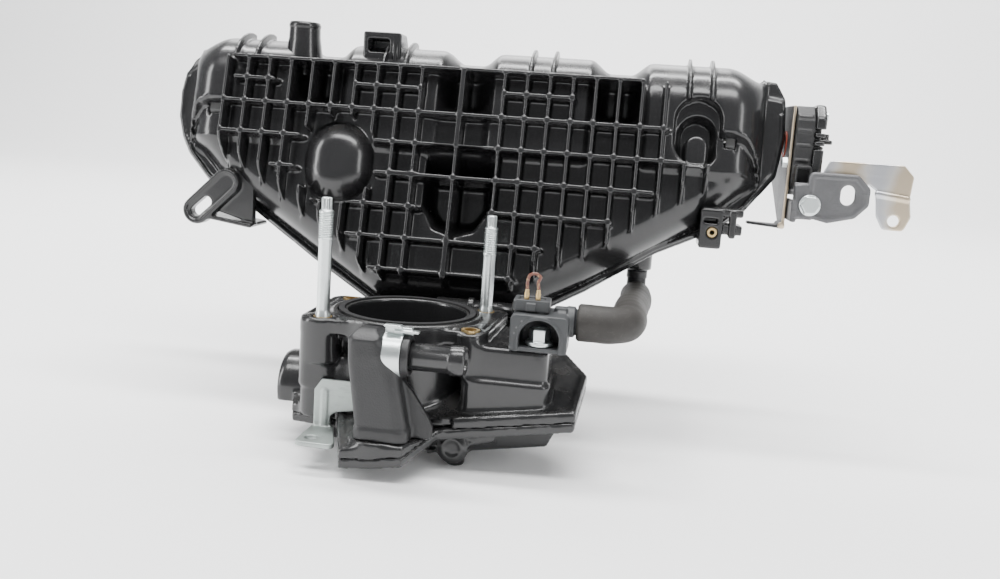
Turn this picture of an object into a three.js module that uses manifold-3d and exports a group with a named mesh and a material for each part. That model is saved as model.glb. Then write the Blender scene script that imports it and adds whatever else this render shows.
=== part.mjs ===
// Four-runner intake manifold, in millimetres, +Z up.
// Origin: centre of the cylinder-head face. +X runs along the runners, the head face looks towards +Y,
// the ribbed front shell looks towards -Y and the throttle flange looks up.
// Heights in this file start from a drawing datum that lies port_height below the port centres.
import * as THREE from 'three';
import { mergeVertices } from 'three/addons/utils/BufferGeometryUtils.js';
import Module from 'manifold-3d';

const wasm = await Module();
wasm.setup();

// ---- Driving dimensions ----
const runner_pitch = 96;
const port_height = 45;
const shell_lean = 15;
const shell_foot = [0, -90.8, -77.5];
const wall = 3;
const gap = 0.3;
const weld_plate = 4;
const rib_tip = 43.2;
const rib_thickness = 2.2;
const rib_column_first = 26;
const rib_column_pitch = 14.1;
const rib_row_first = 17.7;
const rib_row_pitch = 19.85;
const rib_row_top = 145.8;
const valley_crown = 18;
const runner_crown = 32;
const port_width = 52;
const port_size = 34;
const shaft_radius = 4;
const shaft_y = -24;
const throttle_centre = [-9.5, -175];
const throttle_top = -65.8;
const throttle_bore = 33;
const stud_offset = [39.5, 27.3];

const runner_x = [-1.5, -0.5, 0.5, 1.5].map((step) => step * runner_pitch);

// ---- Finishes ----
const finish = (color, roughness, metalness = 0) =>
  new THREE.MeshStandardMaterial({ color, roughness, metalness });
const nylon = finish(0x141415, 0.3);
const matte_nylon = finish(0x1d1d1e, 0.6);
const grey_plastic = finish(0x3a3b3c, 0.55);
const hose_rubber = finish(0x35322f, 0.9);
const seal_rubber = finish(0x101010, 0.8);
const red_rubber = finish(0x8a2a1c, 0.7);
const zinc = finish(0xc6cccb, 0.35, 1);
const steel = finish(0xb4b0a8, 0.4, 1);
const dark_steel = finish(0x3b3b3d, 0.5, 1);
const brass = finish(0xb89a5a, 0.35, 1);
const wire_brown = finish(0x6b4030, 0.5);

// ---- Solids from plain geometry ----
function solid_of(geometry) {
  const bare = geometry.clone();
  bare.deleteAttribute('normal');
  bare.deleteAttribute('uv');
  const merged = mergeVertices(bare, 1e-4);
  const faces = [];
  for (let i = 0; i < merged.index.count; i += 3) {
    const [a, b, c] = merged.index.array.slice(i, i + 3);
    if (a !== b && b !== c && c !== a) faces.push(a, b, c);
  }
  return new wasm.Manifold(new wasm.Mesh({
    numProp: 3,
    vertProperties: new Float32Array(merged.attributes.position.array),
    triVerts: new Uint32Array(faces),
  }));
}

function geometry_of(solid) {
  const { vertProperties, triVerts } = solid.getMesh();
  const geometry = new THREE.BufferGeometry();
  geometry.setAttribute('position', new THREE.BufferAttribute(vertProperties, 3));
  geometry.setIndex(new THREE.BufferAttribute(triVerts, 1));
  geometry.computeVertexNormals();
  return geometry;
}

const join = (...pieces) => geometry_of(pieces.map(solid_of).reduce((all, next) => all.add(next)));
const cut = (piece, ...tools) =>
  geometry_of(tools.map(solid_of).reduce((left, tool) => left.subtract(tool), solid_of(piece)));

// ---- Outlines ----
function circle(a, b, radius, sides = 16) {
  return Array.from({ length: sides }, (_, i) => {
    const angle = (2 * Math.PI * i) / sides;
    return [a + radius * Math.cos(angle), b + radius * Math.sin(angle)];
  });
}

function rounded(points, radius, steps = 2) {
  return points.flatMap((corner, i) => {
    const corner_vector = new THREE.Vector2(...corner);
    const before = new THREE.Vector2(...points.at(i - 1)).sub(corner_vector);
    const after = new THREE.Vector2(...points[(i + 1) % points.length]).sub(corner_vector);
    const start = corner_vector.clone().add(before.setLength(Math.min(radius, before.length() / 2.2)));
    const end = corner_vector.clone().add(after.setLength(Math.min(radius, after.length() / 2.2)));
    const arc = new THREE.QuadraticBezierCurve(start, corner_vector, end);
    return arc.getPoints(steps).map((p) => [p.x, p.y]);
  });
}

const rectangle = (a0, b0, a1, b1) => [[a0, b0], [a1, b0], [a1, b1], [a0, b1]];

// A slot shape round the line between two centres.
function capsule([a0, b0], [a1, b1], radius, sides = 5) {
  const quarter = Math.PI / 2;
  const heading = Math.atan2(b1 - b0, a1 - a0);
  const arc = (from, a, b) => Array.from({ length: sides + 1 }, (_, i) => {
    const angle = from + (Math.PI * i) / sides;
    return [a + radius * Math.cos(angle), b + radius * Math.sin(angle)];
  });
  return [...arc(heading - quarter, a1, b1), ...arc(heading + quarter, a0, b0)];
}

function obround(a, b, half_width, half_height) {
  const straight = half_height - half_width;
  return capsule([a, b - straight], [a, b + straight], half_width);
}

function inset(points, distance) {
  return points.map((corner, i) => {
    const before = points.at(i - 1);
    const after = points[(i + 1) % points.length];
    const normal = ([ax, ay], [bx, by]) => {
      const length = Math.hypot(bx - ax, by - ay);
      return [-(by - ay) / length, (bx - ax) / length];
    };
    const [n, m] = [normal(before, corner), normal(corner, after)];
    const scale = distance / (1 + n[0] * m[0] + n[1] * m[1]);
    return [corner[0] + (n[0] + m[0]) * scale, corner[1] + (n[1] + m[1]) * scale];
  });
}

// ---- Pieces along an axis ----
const axis_bases = {
  x: [[0, 1, 0], [0, 0, 1], [1, 0, 0]],
  y: [[0, 0, 1], [1, 0, 0], [0, 1, 0]],
  z: [[1, 0, 0], [0, 1, 0], [0, 0, 1]],
};

function turn_to(geometry, axis) {
  const basis = axis_bases[axis].map((column) => new THREE.Vector3(...column));
  return geometry.applyMatrix4(new THREE.Matrix4().makeBasis(...basis));
}

// Outline points are (y, z) along x, (x, z) along y and (x, y) along z.
function prism(axis, points, from, to, holes = []) {
  const flat = (list) => list.map(([a, b]) => (axis === 'y' ? new THREE.Vector2(b,
    a) : new THREE.Vector2(a, b)));
  const shape = new THREE.Shape(flat(points));
  shape.holes = holes.map((hole) => new THREE.Path(flat(hole)));
  const body = new THREE.ExtrudeGeometry(shape, { depth: to - from, bevelEnabled: false });
  return turn_to(body.translate(0, 0, from), axis);
}

const rod = (axis, [a, b], radius, from, to, sides = 16) =>
  prism(axis, circle(a, b, radius, sides), from, to);
const tube = (axis, [a, b], outer, inner, from, to, sides = 16) =>
  prism(axis, circle(a, b, outer, sides), from, to, [circle(a, b, inner, sides).reverse()]);

function turned(axis, profile, [x, y, z], sides = 16) {
  const lathe = new THREE.LatheGeometry(profile.map(([r, h]) => new THREE.Vector2(r, h)), sides);
  lathe.rotateX(Math.PI / 2);
  return turn_to(lathe, axis).translate(x, y, z);
}

function loft(sections) {
  const count = sections[0].length;
  const positions = sections.flat(2);
  const faces = [];
  for (let s = 0; s + 1 < sections.length; s += 1) {
    for (let i = 0; i < count; i += 1) {
      const [a, b] = [s * count + i, s * count + ((i + 1) % count)];
      faces.push(a, b, b + count, a, b + count, a + count);
    }
  }
  const cap = (section, plane) => THREE.ShapeUtils.triangulateShape(
    sections[section].map((p) => new THREE.Vector2(p[plane[0]], p[plane[1]])), []);
  const along_x = sections[0].every((p) => p[0] === sections[0][0][0]);
  const plane = along_x ? [1, 2] : [0, 1];
  const last = (sections.length - 1) * count;
  cap(0, plane).forEach(([a, b, c]) => faces.push(a, c, b));
  cap(sections.length - 1, plane).forEach(([a, b, c]) => faces.push(last + a, last + b, last + c));
  const geometry = new THREE.BufferGeometry();
  geometry.setAttribute('position', new THREE.BufferAttribute(new Float32Array(positions), 3));
  geometry.setIndex(faces);
  return geometry;
}

function sweep(points, outline, steps) {
  const path = new THREE.CatmullRomCurve3(points.map((p) => new THREE.Vector3(...p)), false,
    'centripetal');
  const shape = new THREE.Shape(outline.map((p) => new THREE.Vector2(...p)));
  return new THREE.ExtrudeGeometry(shape, { steps, extrudePath: path });
}

function hexagon(a, b, across_flats) {
  return circle(a, b, across_flats / Math.sqrt(3), 6);
}

// ---- The leaning shells: local x along the runners, y up the shell, z out of the front ----
const manifold = new THREE.Group();
manifold.position.z = -port_height;
const leaning = new THREE.Group();
leaning.position.set(...shell_foot);
leaning.rotation.x = THREE.MathUtils.degToRad(90 - shell_lean);
manifold.add(leaning);
leaning.updateMatrix();
const into_leaning = leaning.matrix.clone().invert();
const upright_in_leaning = (geometry) => geometry.applyMatrix4(into_leaning);

function part(name, geometry, material, parent = manifold) {
  const mesh = new THREE.Mesh(geometry, material);
  mesh.name = name;
  parent.add(mesh);
  return mesh;
}

const shell_outline = [
  [50, -2], [86, 19], [128, 47], [164.5, 65], [181.5, 79], [198, 101], [202.3, 126], [201, 152],
    [194.5, 163],
  [188, 163], [182, 156], [-180, 156], [-187, 161], [-200, 148], [-200.8, 117], [-188.6, 87],
    [-173.5, 71], [-143, 56], [-94, 24], [-50, -2],
];
const plenum_outline = [
  [46, 2], [86, 24], [160, 70], [186, 94], [186, 130], [-186, 130], [-186, 96], [-166, 76], [-92, 30],
    [-46, 2],
];

const ring_at = (points, h) => points.map(([x, w]) => [x, w, h]);
const plenum_loft = (steps) =>
  loft(steps.map(([distance, h]) => ring_at(rounded(inset(plenum_outline, distance), 12), h)));

function smooth(t) {
  const clamped = Math.min(1, Math.max(0, t));
  return clamped * clamped * (3 - 2 * clamped);
}

// Height of the crown above the weld plane: high over each runner, low in the valleys, closing at the ends.
function crown_at(x) {
  const nearest = Math.min(...runner_x.map((centre) => Math.abs(x - centre)));
  const end_fall = Math.max(0, Math.abs(x) - 172) / 16;
  const bump = smooth((42 - nearest) / 14);
  const over_end = Math.abs(x) > 1.5 * runner_pitch;
  const height = over_end ? runner_crown : valley_crown + (runner_crown - valley_crown) * bump;
  return Math.max(5, height * Math.sqrt(Math.max(0, 1 - end_fall ** 2)));
}

// Runner crowns: one closed skin that follows crown_at along x and rolls over the top edge.
function crown_loft(shrink, bottom, low_edge) {
  const sides = runner_x.flatMap((centre) => [-41, -36, -31, 31, 36, 41].map((step) => centre + step));
  const stations = [-187, -184, ...sides, 184, 187];
  const sections = stations.map((station) => {
    const x = station * (1 - shrink / 187);
    const crown = crown_at(x) - shrink;
    const top = 161 + 8 * smooth((crown + shrink - valley_crown) / (runner_crown - valley_crown)) - shrink;
    const arc = [0, 1, 2, 3, 4].map((i) => {
      const angle = (Math.PI / 2) * (i / 4);
      return [x, top - crown + crown * Math.cos(angle), Math.max(bottom + 0.5, crown * Math.sin(angle))];
    });
    return [[x, low_edge, bottom], [x, top, bottom], ...arc,
      [x, low_edge, Math.max(bottom + 1, crown - 2)]];
  });
  return loft(sections);
}

const zone_corners = [[-152.9, 97.1], [-118, 77.2], [-89, 57.4], [-64, 37.5], [-48, 17.7], [-47, 2],
  [42, 2], [43, 17.7], [58, 37.5], [99, 57.4], [122, 77.2], [152.9, 97.1]];
const lower_edge = [[-200, 110], [-188.6, 87], [-173.5, 71], [-143, 56], [-94, 24], [-50, -2], [50, -2],
  [86, 19],
  [128, 47], [164.5, 65], [181.5, 79], [202, 110]];

function height_on(chain, x) {
  const next = chain.findIndex(([at]) => at > x);
  const [[x0, w0], [x1, w1]] = [chain[next - 1], chain[next]];
  return w0 + ((x - x0) / (x1 - x0)) * (w1 - w0);
}

// An upright rib: a fang from the weld plate up to the tip plane, then straight to the top row.
function upright_rib(x, top = rib_row_top) {
  const foot = height_on(lower_edge, x) + 13;
  const shoulder = Math.max(foot + 4, height_on(zone_corners, x) - 2);
  const outline = [[foot, weld_plate - 1], [top, weld_plate - 1], [top, rib_tip], [shoulder, rib_tip],
    [foot, 14]];
  return prism('x', outline, x - rib_thickness / 2, x + rib_thickness / 2);
}

function cross_rib(w, from, to) {
  const tip = rib_tip - 0.5;
  const outline = [[from, 10], [to, 10], [to, tip], [from, tip]];
  return prism('y', outline, w - rib_thickness / 2, w + rib_thickness / 2);
}

// The short rib that rolls over a runner crown.
function crest_rib(x) {
  const rise = 5;
  const centre = 169 - runner_crown;
  const over = [0, 1, 2, 3, 4, 5].map((i) => {
    const angle = (Math.PI / 2) * (0.12 + 0.78 * (1 - i / 5));
    return [centre + (runner_crown + rise) * Math.cos(angle), (runner_crown + rise) * Math.sin(angle)];
  }).reverse();
  return prism('x', [[centre + 4, 20], ...over], x - 0.9, x + 0.9);
}

const rib_columns = [0];
for (let i = 0; i < 10; i += 1) {
  rib_columns.push(rib_column_first + rib_column_pitch * i, -rib_column_first - rib_column_pitch * i);
}
const rib_rows = [
  [rib_row_first, -48, 43], [rib_row_first + rib_row_pitch, -64, 58],
    [rib_row_first + 2 * rib_row_pitch, -89, 99],
  [rib_row_first + 3 * rib_row_pitch, -118, 122], [rib_row_first + 4 * rib_row_pitch, -153, 153],
  [rib_row_first + 5 * rib_row_pitch, -153, 132], [rib_row_top, -150, 111],
  [132, -148, -120], [132, -68, -25.5], [132, 25.5, 70],
];

const dome = [-76, 84, 22, 25.5];
const pocket_outline = [[-23, 60], [-14, 44], [2, 39.5], [16, 44], [26, 60], [26, 92], [16, 98],
  [-14, 98], [-23, 92]];
const tunnel = [146, 120, 14, 21];
const nozzle_axis = [-112.5, -66];
const clip_block = [152.5, 178];

function front_shell() {
  const crown = crown_loft(0, gap / 2, 98);
  const plenum = plenum_loft([[0, gap / 2], [2, 12], [5, 20], [10, 26], [16, 29]]);
  const plate = prism('z', rounded(shell_outline, 10), gap / 2, weld_plate);
  const rail = cut(
    prism('z', rounded(inset(shell_outline, 1), 10), weld_plate - 0.5, weld_plate + 2.5),
    prism('z', rounded(inset(shell_outline, 3.4), 10), weld_plate - 1, weld_plate + 4),
    prism('z', rectangle(-230, 140, 230, 190), 0, 20));
  let ribs = join(...rib_columns.map((x) => upright_rib(x)), ...rib_rows.map((row) => cross_rib(...row)));
  ribs = cut(ribs, prism('z', obround(dome[0], dome[1], dome[2] + 2, dome[3] + 2), 0, 60),
    prism('z', rounded(inset(pocket_outline, 2), 6), 0, 60),
    prism('z', obround(tunnel[0], tunnel[1] + 14, tunnel[2] + 3, tunnel[3] + 14), 0, 60));
  const window = upright_in_leaning(prism('x', [[-80, 82.5], [-63, 82.5], [-63, 90.5], [-80, 90.5]],
    -66.5, -52));
  const crests = cut(join(...[40.1, 54.2, 138.8, 152.9].flatMap((x) => [crest_rib(x), crest_rib(-x)])),
    window);
  const boss = loft([[0, 20], [0, 34], [1.5, 38], [5, 41], [10, 42.5]].map(([less, h]) =>
    ring_at(obround(dome[0], dome[1], dome[2] - less, dome[3] - less), h)));
  const nozzle = upright_in_leaning(turned('z', [[0, 0], [12.8, 0], [12.5, 9], [10.4, 25], [9.9, 35.2],
    [0, 35.2]],
    [...nozzle_axis, 64]));
  const lug = cut(upright_in_leaning(join(
    prism('y', capsule([-150, -7], [-170, -26.5], 8.6), -101, -93),
    prism('y', [[-163, -25], [-133, -33], [-133, -1], [-146, 3]], -99, -93),
    prism('y', [[-160, -30], [-137, -33], [-137, -30], [-158, -26]], -100, -70))),
  upright_in_leaning(prism('y', capsule([-163.5, -20.5], [-170.5, -27], 3.4), -110, -80)));
  const bridge = cut(
    upright_in_leaning(prism('x', [[-77, 74], [-54, 74], [-54, 88], [-60, 95], [-77, 95]], -70, -45)),
    window, upright_in_leaning(rod('z', [-57, -71], 2.4, 86, 99, 12)));
  const [block_left, block_right] = clip_block;
  const clip = cut(
    upright_in_leaning(prism('x', rounded([[-98, -24], [-76, -24], [-76, 1], [-98, 1]], 2), block_left,
      block_right)),
    upright_in_leaning(rod('y', [160, -14], 3.2, -110, -86, 16)),
    upright_in_leaning(prism('y', rectangle(168, -8, 181, 4), -110, -84)));

  const skin = join(crown, plenum, plate, rail, ribs, crests, boss, nozzle, lug, bridge, clip);
  const pocket = loft([ring_at(rounded(inset(pocket_outline, 7), 4), 13),
    ring_at(rounded(inset(pocket_outline, 3), 6), 30),
    ring_at(rounded(pocket_outline, 8), 60)]);
  const tunnel_hole = cut(
    prism('z', obround(...tunnel), 13, 60),
    prism('z', obround(tunnel[0], tunnel[1] - 6, 8, 11), 10, 27));

  const plenum_space = plenum_loft([[wall, -1], [wall + 2, 10], [wall + 4, 17], [wall + 8, 23],
    [wall + 14, 26]]);
  const crown_space = crown_loft(wall, -1, 97);
  const kept_walls = [
    prism('z', rounded(pocket_outline, 8), 9.5, 60),
    prism('z', obround(tunnel[0], tunnel[1], tunnel[2] + wall, tunnel[3] + wall), 9.5, 60),
  ];
  const space = cut(join(plenum_space, crown_space), ...kept_walls);
  const nozzle_bore = upright_in_leaning(rod('z', nozzle_axis, 7, 60, 104, 20));
  const crossing = join(
    prism('x', [[46, 12], [99, 12], [99, rib_tip], [38, rib_tip], [38, 14]], -rib_thickness / 2,
      rib_thickness / 2),
    cross_rib(rib_row_first + 3 * rib_row_pitch, -26, 29));
  return join(cut(skin, pocket, tunnel_hole, space, nozzle_bore), crossing);
}

const hose_boss_axis = [118, -60];
const rear_outline = [[50, -2], [86, 19], [164.5, 65], [196, 100], [196, 160], [-194, 160], [-194, 100],
  [-173.5, 71], [-94, 24], [-50, -2]];
const belly_outline = [[46, 2], [86, 22], [158, 66], [158, 112], [-158, 112], [-158, 66], [-90, 28],
  [-46, 2]];

// Rear half of the plenum: weld plate, deep lower belly, shallow upper wall, four ducts to the head flange.
function rear_shell() {
  const plate = prism('z', rounded(shell_outline, 10), -weld_plate, -gap / 2);
  const upper_body = loft([[22, -24], [12, -20], [8, -10], [6, -0.2]].map(([distance, h]) =>
    ring_at(rounded(inset(rear_outline, distance), 12), h)));
  const belly = loft([[19, -50], [11, -44], [6, -30], [4, -8]].map(([distance, h]) =>
    ring_at(rounded(inset(belly_outline, distance), 10), h)));
  const upper_space = loft([[25, -21], [15, -17], [11, -10], [9, 1]].map(([distance, h]) =>
    ring_at(rounded(inset(rear_outline, distance), 12), h)));
  const belly_space = loft([[21, -47], [14, -41], [9, -29], [7, -4]].map(([distance, h]) =>
    ring_at(rounded(inset(belly_outline, distance), 10), h)));
  const duct_outline = [[-61, 37.4], [-38.3, 24], [-38.3, 66], [-43, 76], [-47.5, 83.5], [-56, 70]];
  const duct_hole = [[-66, 45], [-50, 36], [-38, 28], [-38, 62], [-44, 70], [-52, 79], [-66, 79]];
  const ducts = runner_x.map((x) => upright_in_leaning(prism('x', duct_outline, x - 30, x + 30)));
  const holes = runner_x.map((x) => upright_in_leaning(prism('x', duct_hole, x - 26, x + 26)));
  const ahead = prism('z', rectangle(-260, -60, 260, 260), -gap / 2, 90);
  const behind = upright_in_leaning(prism('y', rectangle(-260, -160, 260, 160), -38.3, 60));
  const foot = prism('x', [[-12, -52], [10, -52], [10, 1], [-12, 1]], -62, 62);
  const hose_boss = upright_in_leaning(rod('z', hose_boss_axis, 9, -46, -30));
  const boss_bore = upright_in_leaning(rod('z', hose_boss_axis, 5, -60, -20, 12));
  return cut(join(plate, upper_body, belly, hose_boss, ...ducts), boss_bore, upper_space, belly_space,
    ...holes, ahead, behind, foot);
}

// Four runner ducts on one web, standing inside the front shell just in front of the weld plane.
function runner_shell() {
  const web = prism('z', rounded(rectangle(-160, 104, 160, 121), 5), 0.5, 3);
  const ducts = runner_x.map((x) => {
    const outer = [[104, 0.5], [160, 0.5], [157, 12], [149, 20], [138, 25], [114, 24], [104, 14]];
    const inner = [[98, 3], [121, 3], [121, -4], [157, -4], [154, 11], [147, 17.5], [137, 22.5],
      [116, 21.5], [98, 9]];
    return cut(prism('x', outer, x - 25, x + 25), prism('x', inner, x - 22.5, x + 22.5));
  });
  const shaft_room = prism('z', obround(tunnel[0], tunnel[1], tunnel[2] + 4, tunnel[3] + 4), 9, 60);
  const pocket_room = prism('z', rounded(pocket_outline, 8), 9, 60);
  return cut(join(web, ...ducts), shaft_room, pocket_room);
}

part('front_shell', front_shell(), nylon, leaning);
part('rear_shell', rear_shell(), nylon, leaning);
part('runner_shell', runner_shell(), matte_nylon, leaning);
part('clip_insert', upright_in_leaning(tube('y', [160, -14], 2.9, 1.6, -98.6, -88, 16)), brass, leaning);

// ---- Head flange with ports, seals, sleeves and the runner valves ----
const bolt_points = [[-184, 16], [-96, -21], [0, 21], [96, -21], [184, 16]].map(([x, dz]) =>
  [x, port_height + dz]);
const port_outline = (x, grow = 0) => rounded(rectangle(
  x - port_width / 2 - grow, port_height - port_size / 2 - grow,
  x + port_width / 2 + grow, port_height + port_size / 2 + grow), 9 + grow);
const stub_end = -38;
const flange_depth = 12;

function port_flange() {
  const plate = join(
    prism('y', rounded(rectangle(-178, port_height - 24, 178, port_height + 24), 10), -flange_depth, 0),
    ...bolt_points.map((point) => rod('y', point, 11, -flange_depth, 0, 12)));
  const stubs = runner_x.map((x) => prism('y', rounded(rectangle(x - 30, 24, x + 30, 66), 10), stub_end,
    -5));
  const rail = rod('x', [shaft_y, port_height], 8.5, -188, 196, 12);
  const ports = runner_x.map((x) => prism('y', port_outline(x), stub_end - 5, 5));
  const grooves = runner_x.map((x) => cut(prism('y', port_outline(x, 5.4), -2.6, 1),
    prism('y', port_outline(x, 1.6), -4, 2)));
  const shaft_bore = rod('x', [shaft_y, port_height], shaft_radius + 0.5, -184, 210);
  const bush_seats = [[-184, -176], [188, 200]].map(([from, to]) =>
    rod('x', [shaft_y, port_height], 6.3, from, to));
  const bolt_holes = bolt_points.map((point) => rod('y', point, 5.8, -flange_depth - 3, 3, 12));
  return cut(join(plate, ...stubs, rail), ...ports, ...grooves, shaft_bore, ...bush_seats, ...bolt_holes);
}
part('port_flange', port_flange(), matte_nylon);

runner_x.forEach((x, i) => {
  const seal = cut(prism('y', port_outline(x, 5.1), -2.3, 0.4), prism('y', port_outline(x, 1.9), -4, 2));
  part(`port_seal_${i + 1}`, seal, seal_rubber);
});
bolt_points.forEach((point, i) => {
  part(`flange_sleeve_${i + 1}`, tube('y', point, 5.5, 3.6, -flange_depth - 0.5, 0, 12), zinc);
});
[[-183.5, -176.3], [188.3, 195.5]].forEach(([from, to], i) => {
  part(`shaft_bush_${i + 1}`, tube('x', [shaft_y, port_height], 6, shaft_radius + 0.12, from, to), brass);
});

const flap_half_width = 24.3;
const flap_chord = 14;
const flap_thickness = 1.6;
const flats = runner_x.map((x) => prism('x', rectangle(shaft_y - 5, port_height, shaft_y + 5,
  port_height + 5), x - 25.5, x + 25.5));
const shaft_tail = prism('x', rectangle(shaft_y - 1.5, port_height - 3.4, shaft_y + 1.5,
  port_height + 3.4), 199, 208);
part('valve_shaft', join(
  cut(rod('x', [shaft_y, port_height], shaft_radius, -183, 200), ...flats), shaft_tail), steel);
runner_x.forEach((x, i) => {
  const blade = rounded(rectangle(x - flap_half_width, shaft_y - flap_chord, x + flap_half_width,
    shaft_y + flap_chord), 6);
  part(`flap_${i + 1}`, prism('z', blade, port_height + gap, port_height + gap + flap_thickness), steel);
});

// ---- Actuator at the right end ----
const actuator = { left: 205.6, right: 222, front: -80, back: -8, low: 11, high: 66 };
function actuator_housing() {
  const outline = rounded([[actuator.front, actuator.low + 6], [actuator.front + 8, actuator.low],
    [actuator.back, 22], [actuator.back, 62], [actuator.front + 6, actuator.high],
      [actuator.front, actuator.high - 6]], 6);
  const body = prism('x', outline, actuator.left, actuator.right - 5);
  const space = prism('x', inset(outline, 2.5), actuator.left + 2.5, actuator.right);
  const pilot = rod('x', [-56, 42], 6, 202.6, actuator.left + 1);
  const connector = prism('y', rounded(rectangle(207, 16, 217, 30), 2), actuator.front - 6,
    actuator.front + 3);
  const socket = prism('y', rounded(rectangle(208.5, 18, 215.5, 28), 1), actuator.front - 8,
    actuator.front - 1);
  const shaft_hole = rod('x', [shaft_y, port_height], 5.2, 190, 215);
  return cut(join(body, pilot, connector), space, shaft_hole, socket);
}
part('actuator_housing', actuator_housing(), matte_nylon);
function actuator_cover() {
  const outline = rounded([[actuator.front - 2, actuator.low + 5],
    [actuator.front + 7, actuator.low - 1.5],
    [actuator.back + 1.5, 20], [actuator.back + 1.5, 64], [actuator.front + 5, actuator.high + 1.5],
    [actuator.front - 2, actuator.high - 5]], 6);
  const cover = prism('x', outline, actuator.right - 4.7, actuator.right);
  const slots = [0, 1, 2].map((i) => prism('y', rectangle(212, 50 - 5 * i, 225, 52.2 - 5 * i), -84, -74));
  const lever = join(
    prism('z', rounded(rectangle(221, -66, 231, -57), 3), 43.5, 46),
    rod('z', [226.5, -61.5], 2.4, 45.5, 50, 12));
  return cut(join(cover, lever), ...slots);
}
part('actuator_cover', actuator_cover(), nylon);
part('drive_coupling', cut(rod('x', [shaft_y, port_height], 11, 208.6, 215), join(
  prism('x', rectangle(shaft_y - 1.8, port_height - 3.8, shaft_y + 1.8, port_height + 3.8), 200,
    211.4))), grey_plastic);
part('actuator_motor', turned('y', [[0, -16], [4.3, -16], [4.3, 14], [0, 14]], [212.8, -56, 38]), zinc);
part('shaft_seal', tube('x', [-56, 42], 8.2, 6.3, 202.9, 204.9, 20), red_rubber);
const plate_bolt_point = [-75, 31];
const plate_points = [[-76, 66], [-18, 66], [-12, 20], [-62, -8], [-80, -8], [-80, 12]];
part('actuator_plate', cut(
  join(prism('x', plate_points, 203.2, 205.2),
    prism('z', [[205.2, -80], [205.2, -64], [184, -58], [184, -64]], -10, -8)),
  rod('x', [-56, 42], 8.6, 200, 208), rod('x', [shaft_y, port_height], 7, 200, 208),
    rod('x', plate_bolt_point, 2.4, 200, 208, 12)), steel);
part('plate_bolt', join(rod('x', plate_bolt_point, 2, 200, 205.3, 12),
  prism('x', hexagon(...plate_bolt_point, 6), 200, 202.9)), zinc);
[[-72, 60], [-16, 58], [-16, 26]].forEach((point, i) => {
  part(`cover_screw_${i + 1}`, rod('x', point, 3, actuator.right + gap, actuator.right + 2.6, 12), zinc);
});

// ---- Brackets at the right end ----
const bracket_bolt = [215.6, 7];
const stay_hole = [266.4, 1];
part('side_bracket', cut(
  join(prism('y', rounded([[213, 0], [226, -3], [242, 1], [250, 10], [250, 18], [242, 27], [217, 27],
    [213, 24]], 5),
    -97, -93),
    prism('y', [[205.6, -2], [214, -1], [214, 20], [205.6, 20]], -97, -93),
    prism('z', rectangle(205.6, -96, 209, -66), -4, 9)),
  prism('y', obround(237.2, 14.5, 4.2, 6), -110, -80), rod('y', bracket_bolt, 3.4, -110, -80)),
    dark_steel);
part('bracket_bolt', join(rod('y', bracket_bolt, 3, -99, -83.4, 12),
  prism('y', hexagon(...bracket_bolt, 10), -101.5, -97.4)), zinc);
part('stay_strip', join(
  cut(prism('y', rounded([[209, 0], [222, 0], [228, 21], [250, 21], [256, 17], [274, 15], [275, 27],
    [269, 34.5],
    [226, 34.5], [217, 15], [209, 14]], 4), -91.5, -89), rod('y', bracket_bolt, 3.4, -110, -80)),
  cut(prism('y', rounded([[254, 18], [274, 18], [277, 4], [273, -5], [260, -5], [256, 4]], 4), -91.5,
    -89),
    rod('y', stay_hole, 3.4, -110, -80))), steel);
part('bracket_nut', cut(prism('y', hexagon(...bracket_bolt, 10), -88.6, -84.4),
  rod('y', bracket_bolt, 3.3, -90, -80, 12)), zinc);

// ---- Lower chamber: throttle flange, round duct, box, weld rim and base ----
const [throttle_x, throttle_y] = throttle_centre;
const rim_point = [75, -216, -108.5];
const rim_rise = [0.132, 0.306];
const rim_depth = 4.5;
const rim_outline = [
  [-26, -243], [6, -243], [20, -220], [90, -216], [95, -180], [64, -128], [-60, -128], [-76, -152],
    [-66, -200], [-38, -208],
];
const base_outline = [[20, -213], [84, -209], [88, -180], [60, -134], [-56, -134], [-70, -154],
  [-60, -196], [-30, -202]];
const rim_height = (x, y) =>
  rim_point[2] + rim_rise[0] * (x - rim_point[0]) + rim_rise[1] * (y - rim_point[1]);

// A slab that follows the tilted rim plane between two offsets.
function rim_slab(outline, below, above) {
  const level = (offset) => outline.map(([x, y]) => [x, y, rim_height(x, y) + offset]);
  return loft([level(below), level(above)]);
}

const socket_axis = [-10, -230];
const valve_bolt_point = [68, -205];
const box_corners = [[28, -212], [76, -212], [76, -176], [58, -150], [28, -150]];
const box_at = (less) => rounded(inset(box_corners, less), 7 - less / 2);
const chamber_floor = -124;
const pan_bottom = -139;
const stud_points = [[-1, -1], [1, 1]].map(([i, j]) =>
  [throttle_x + i * (stud_offset[0] + 1), throttle_y + j * stud_offset[1]]);
const insert_points = [[-1, 1], [1, -1]].map(([i, j]) =>
  [throttle_x + i * (stud_offset[0] + 1), throttle_y + j * stud_offset[1]]);

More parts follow.
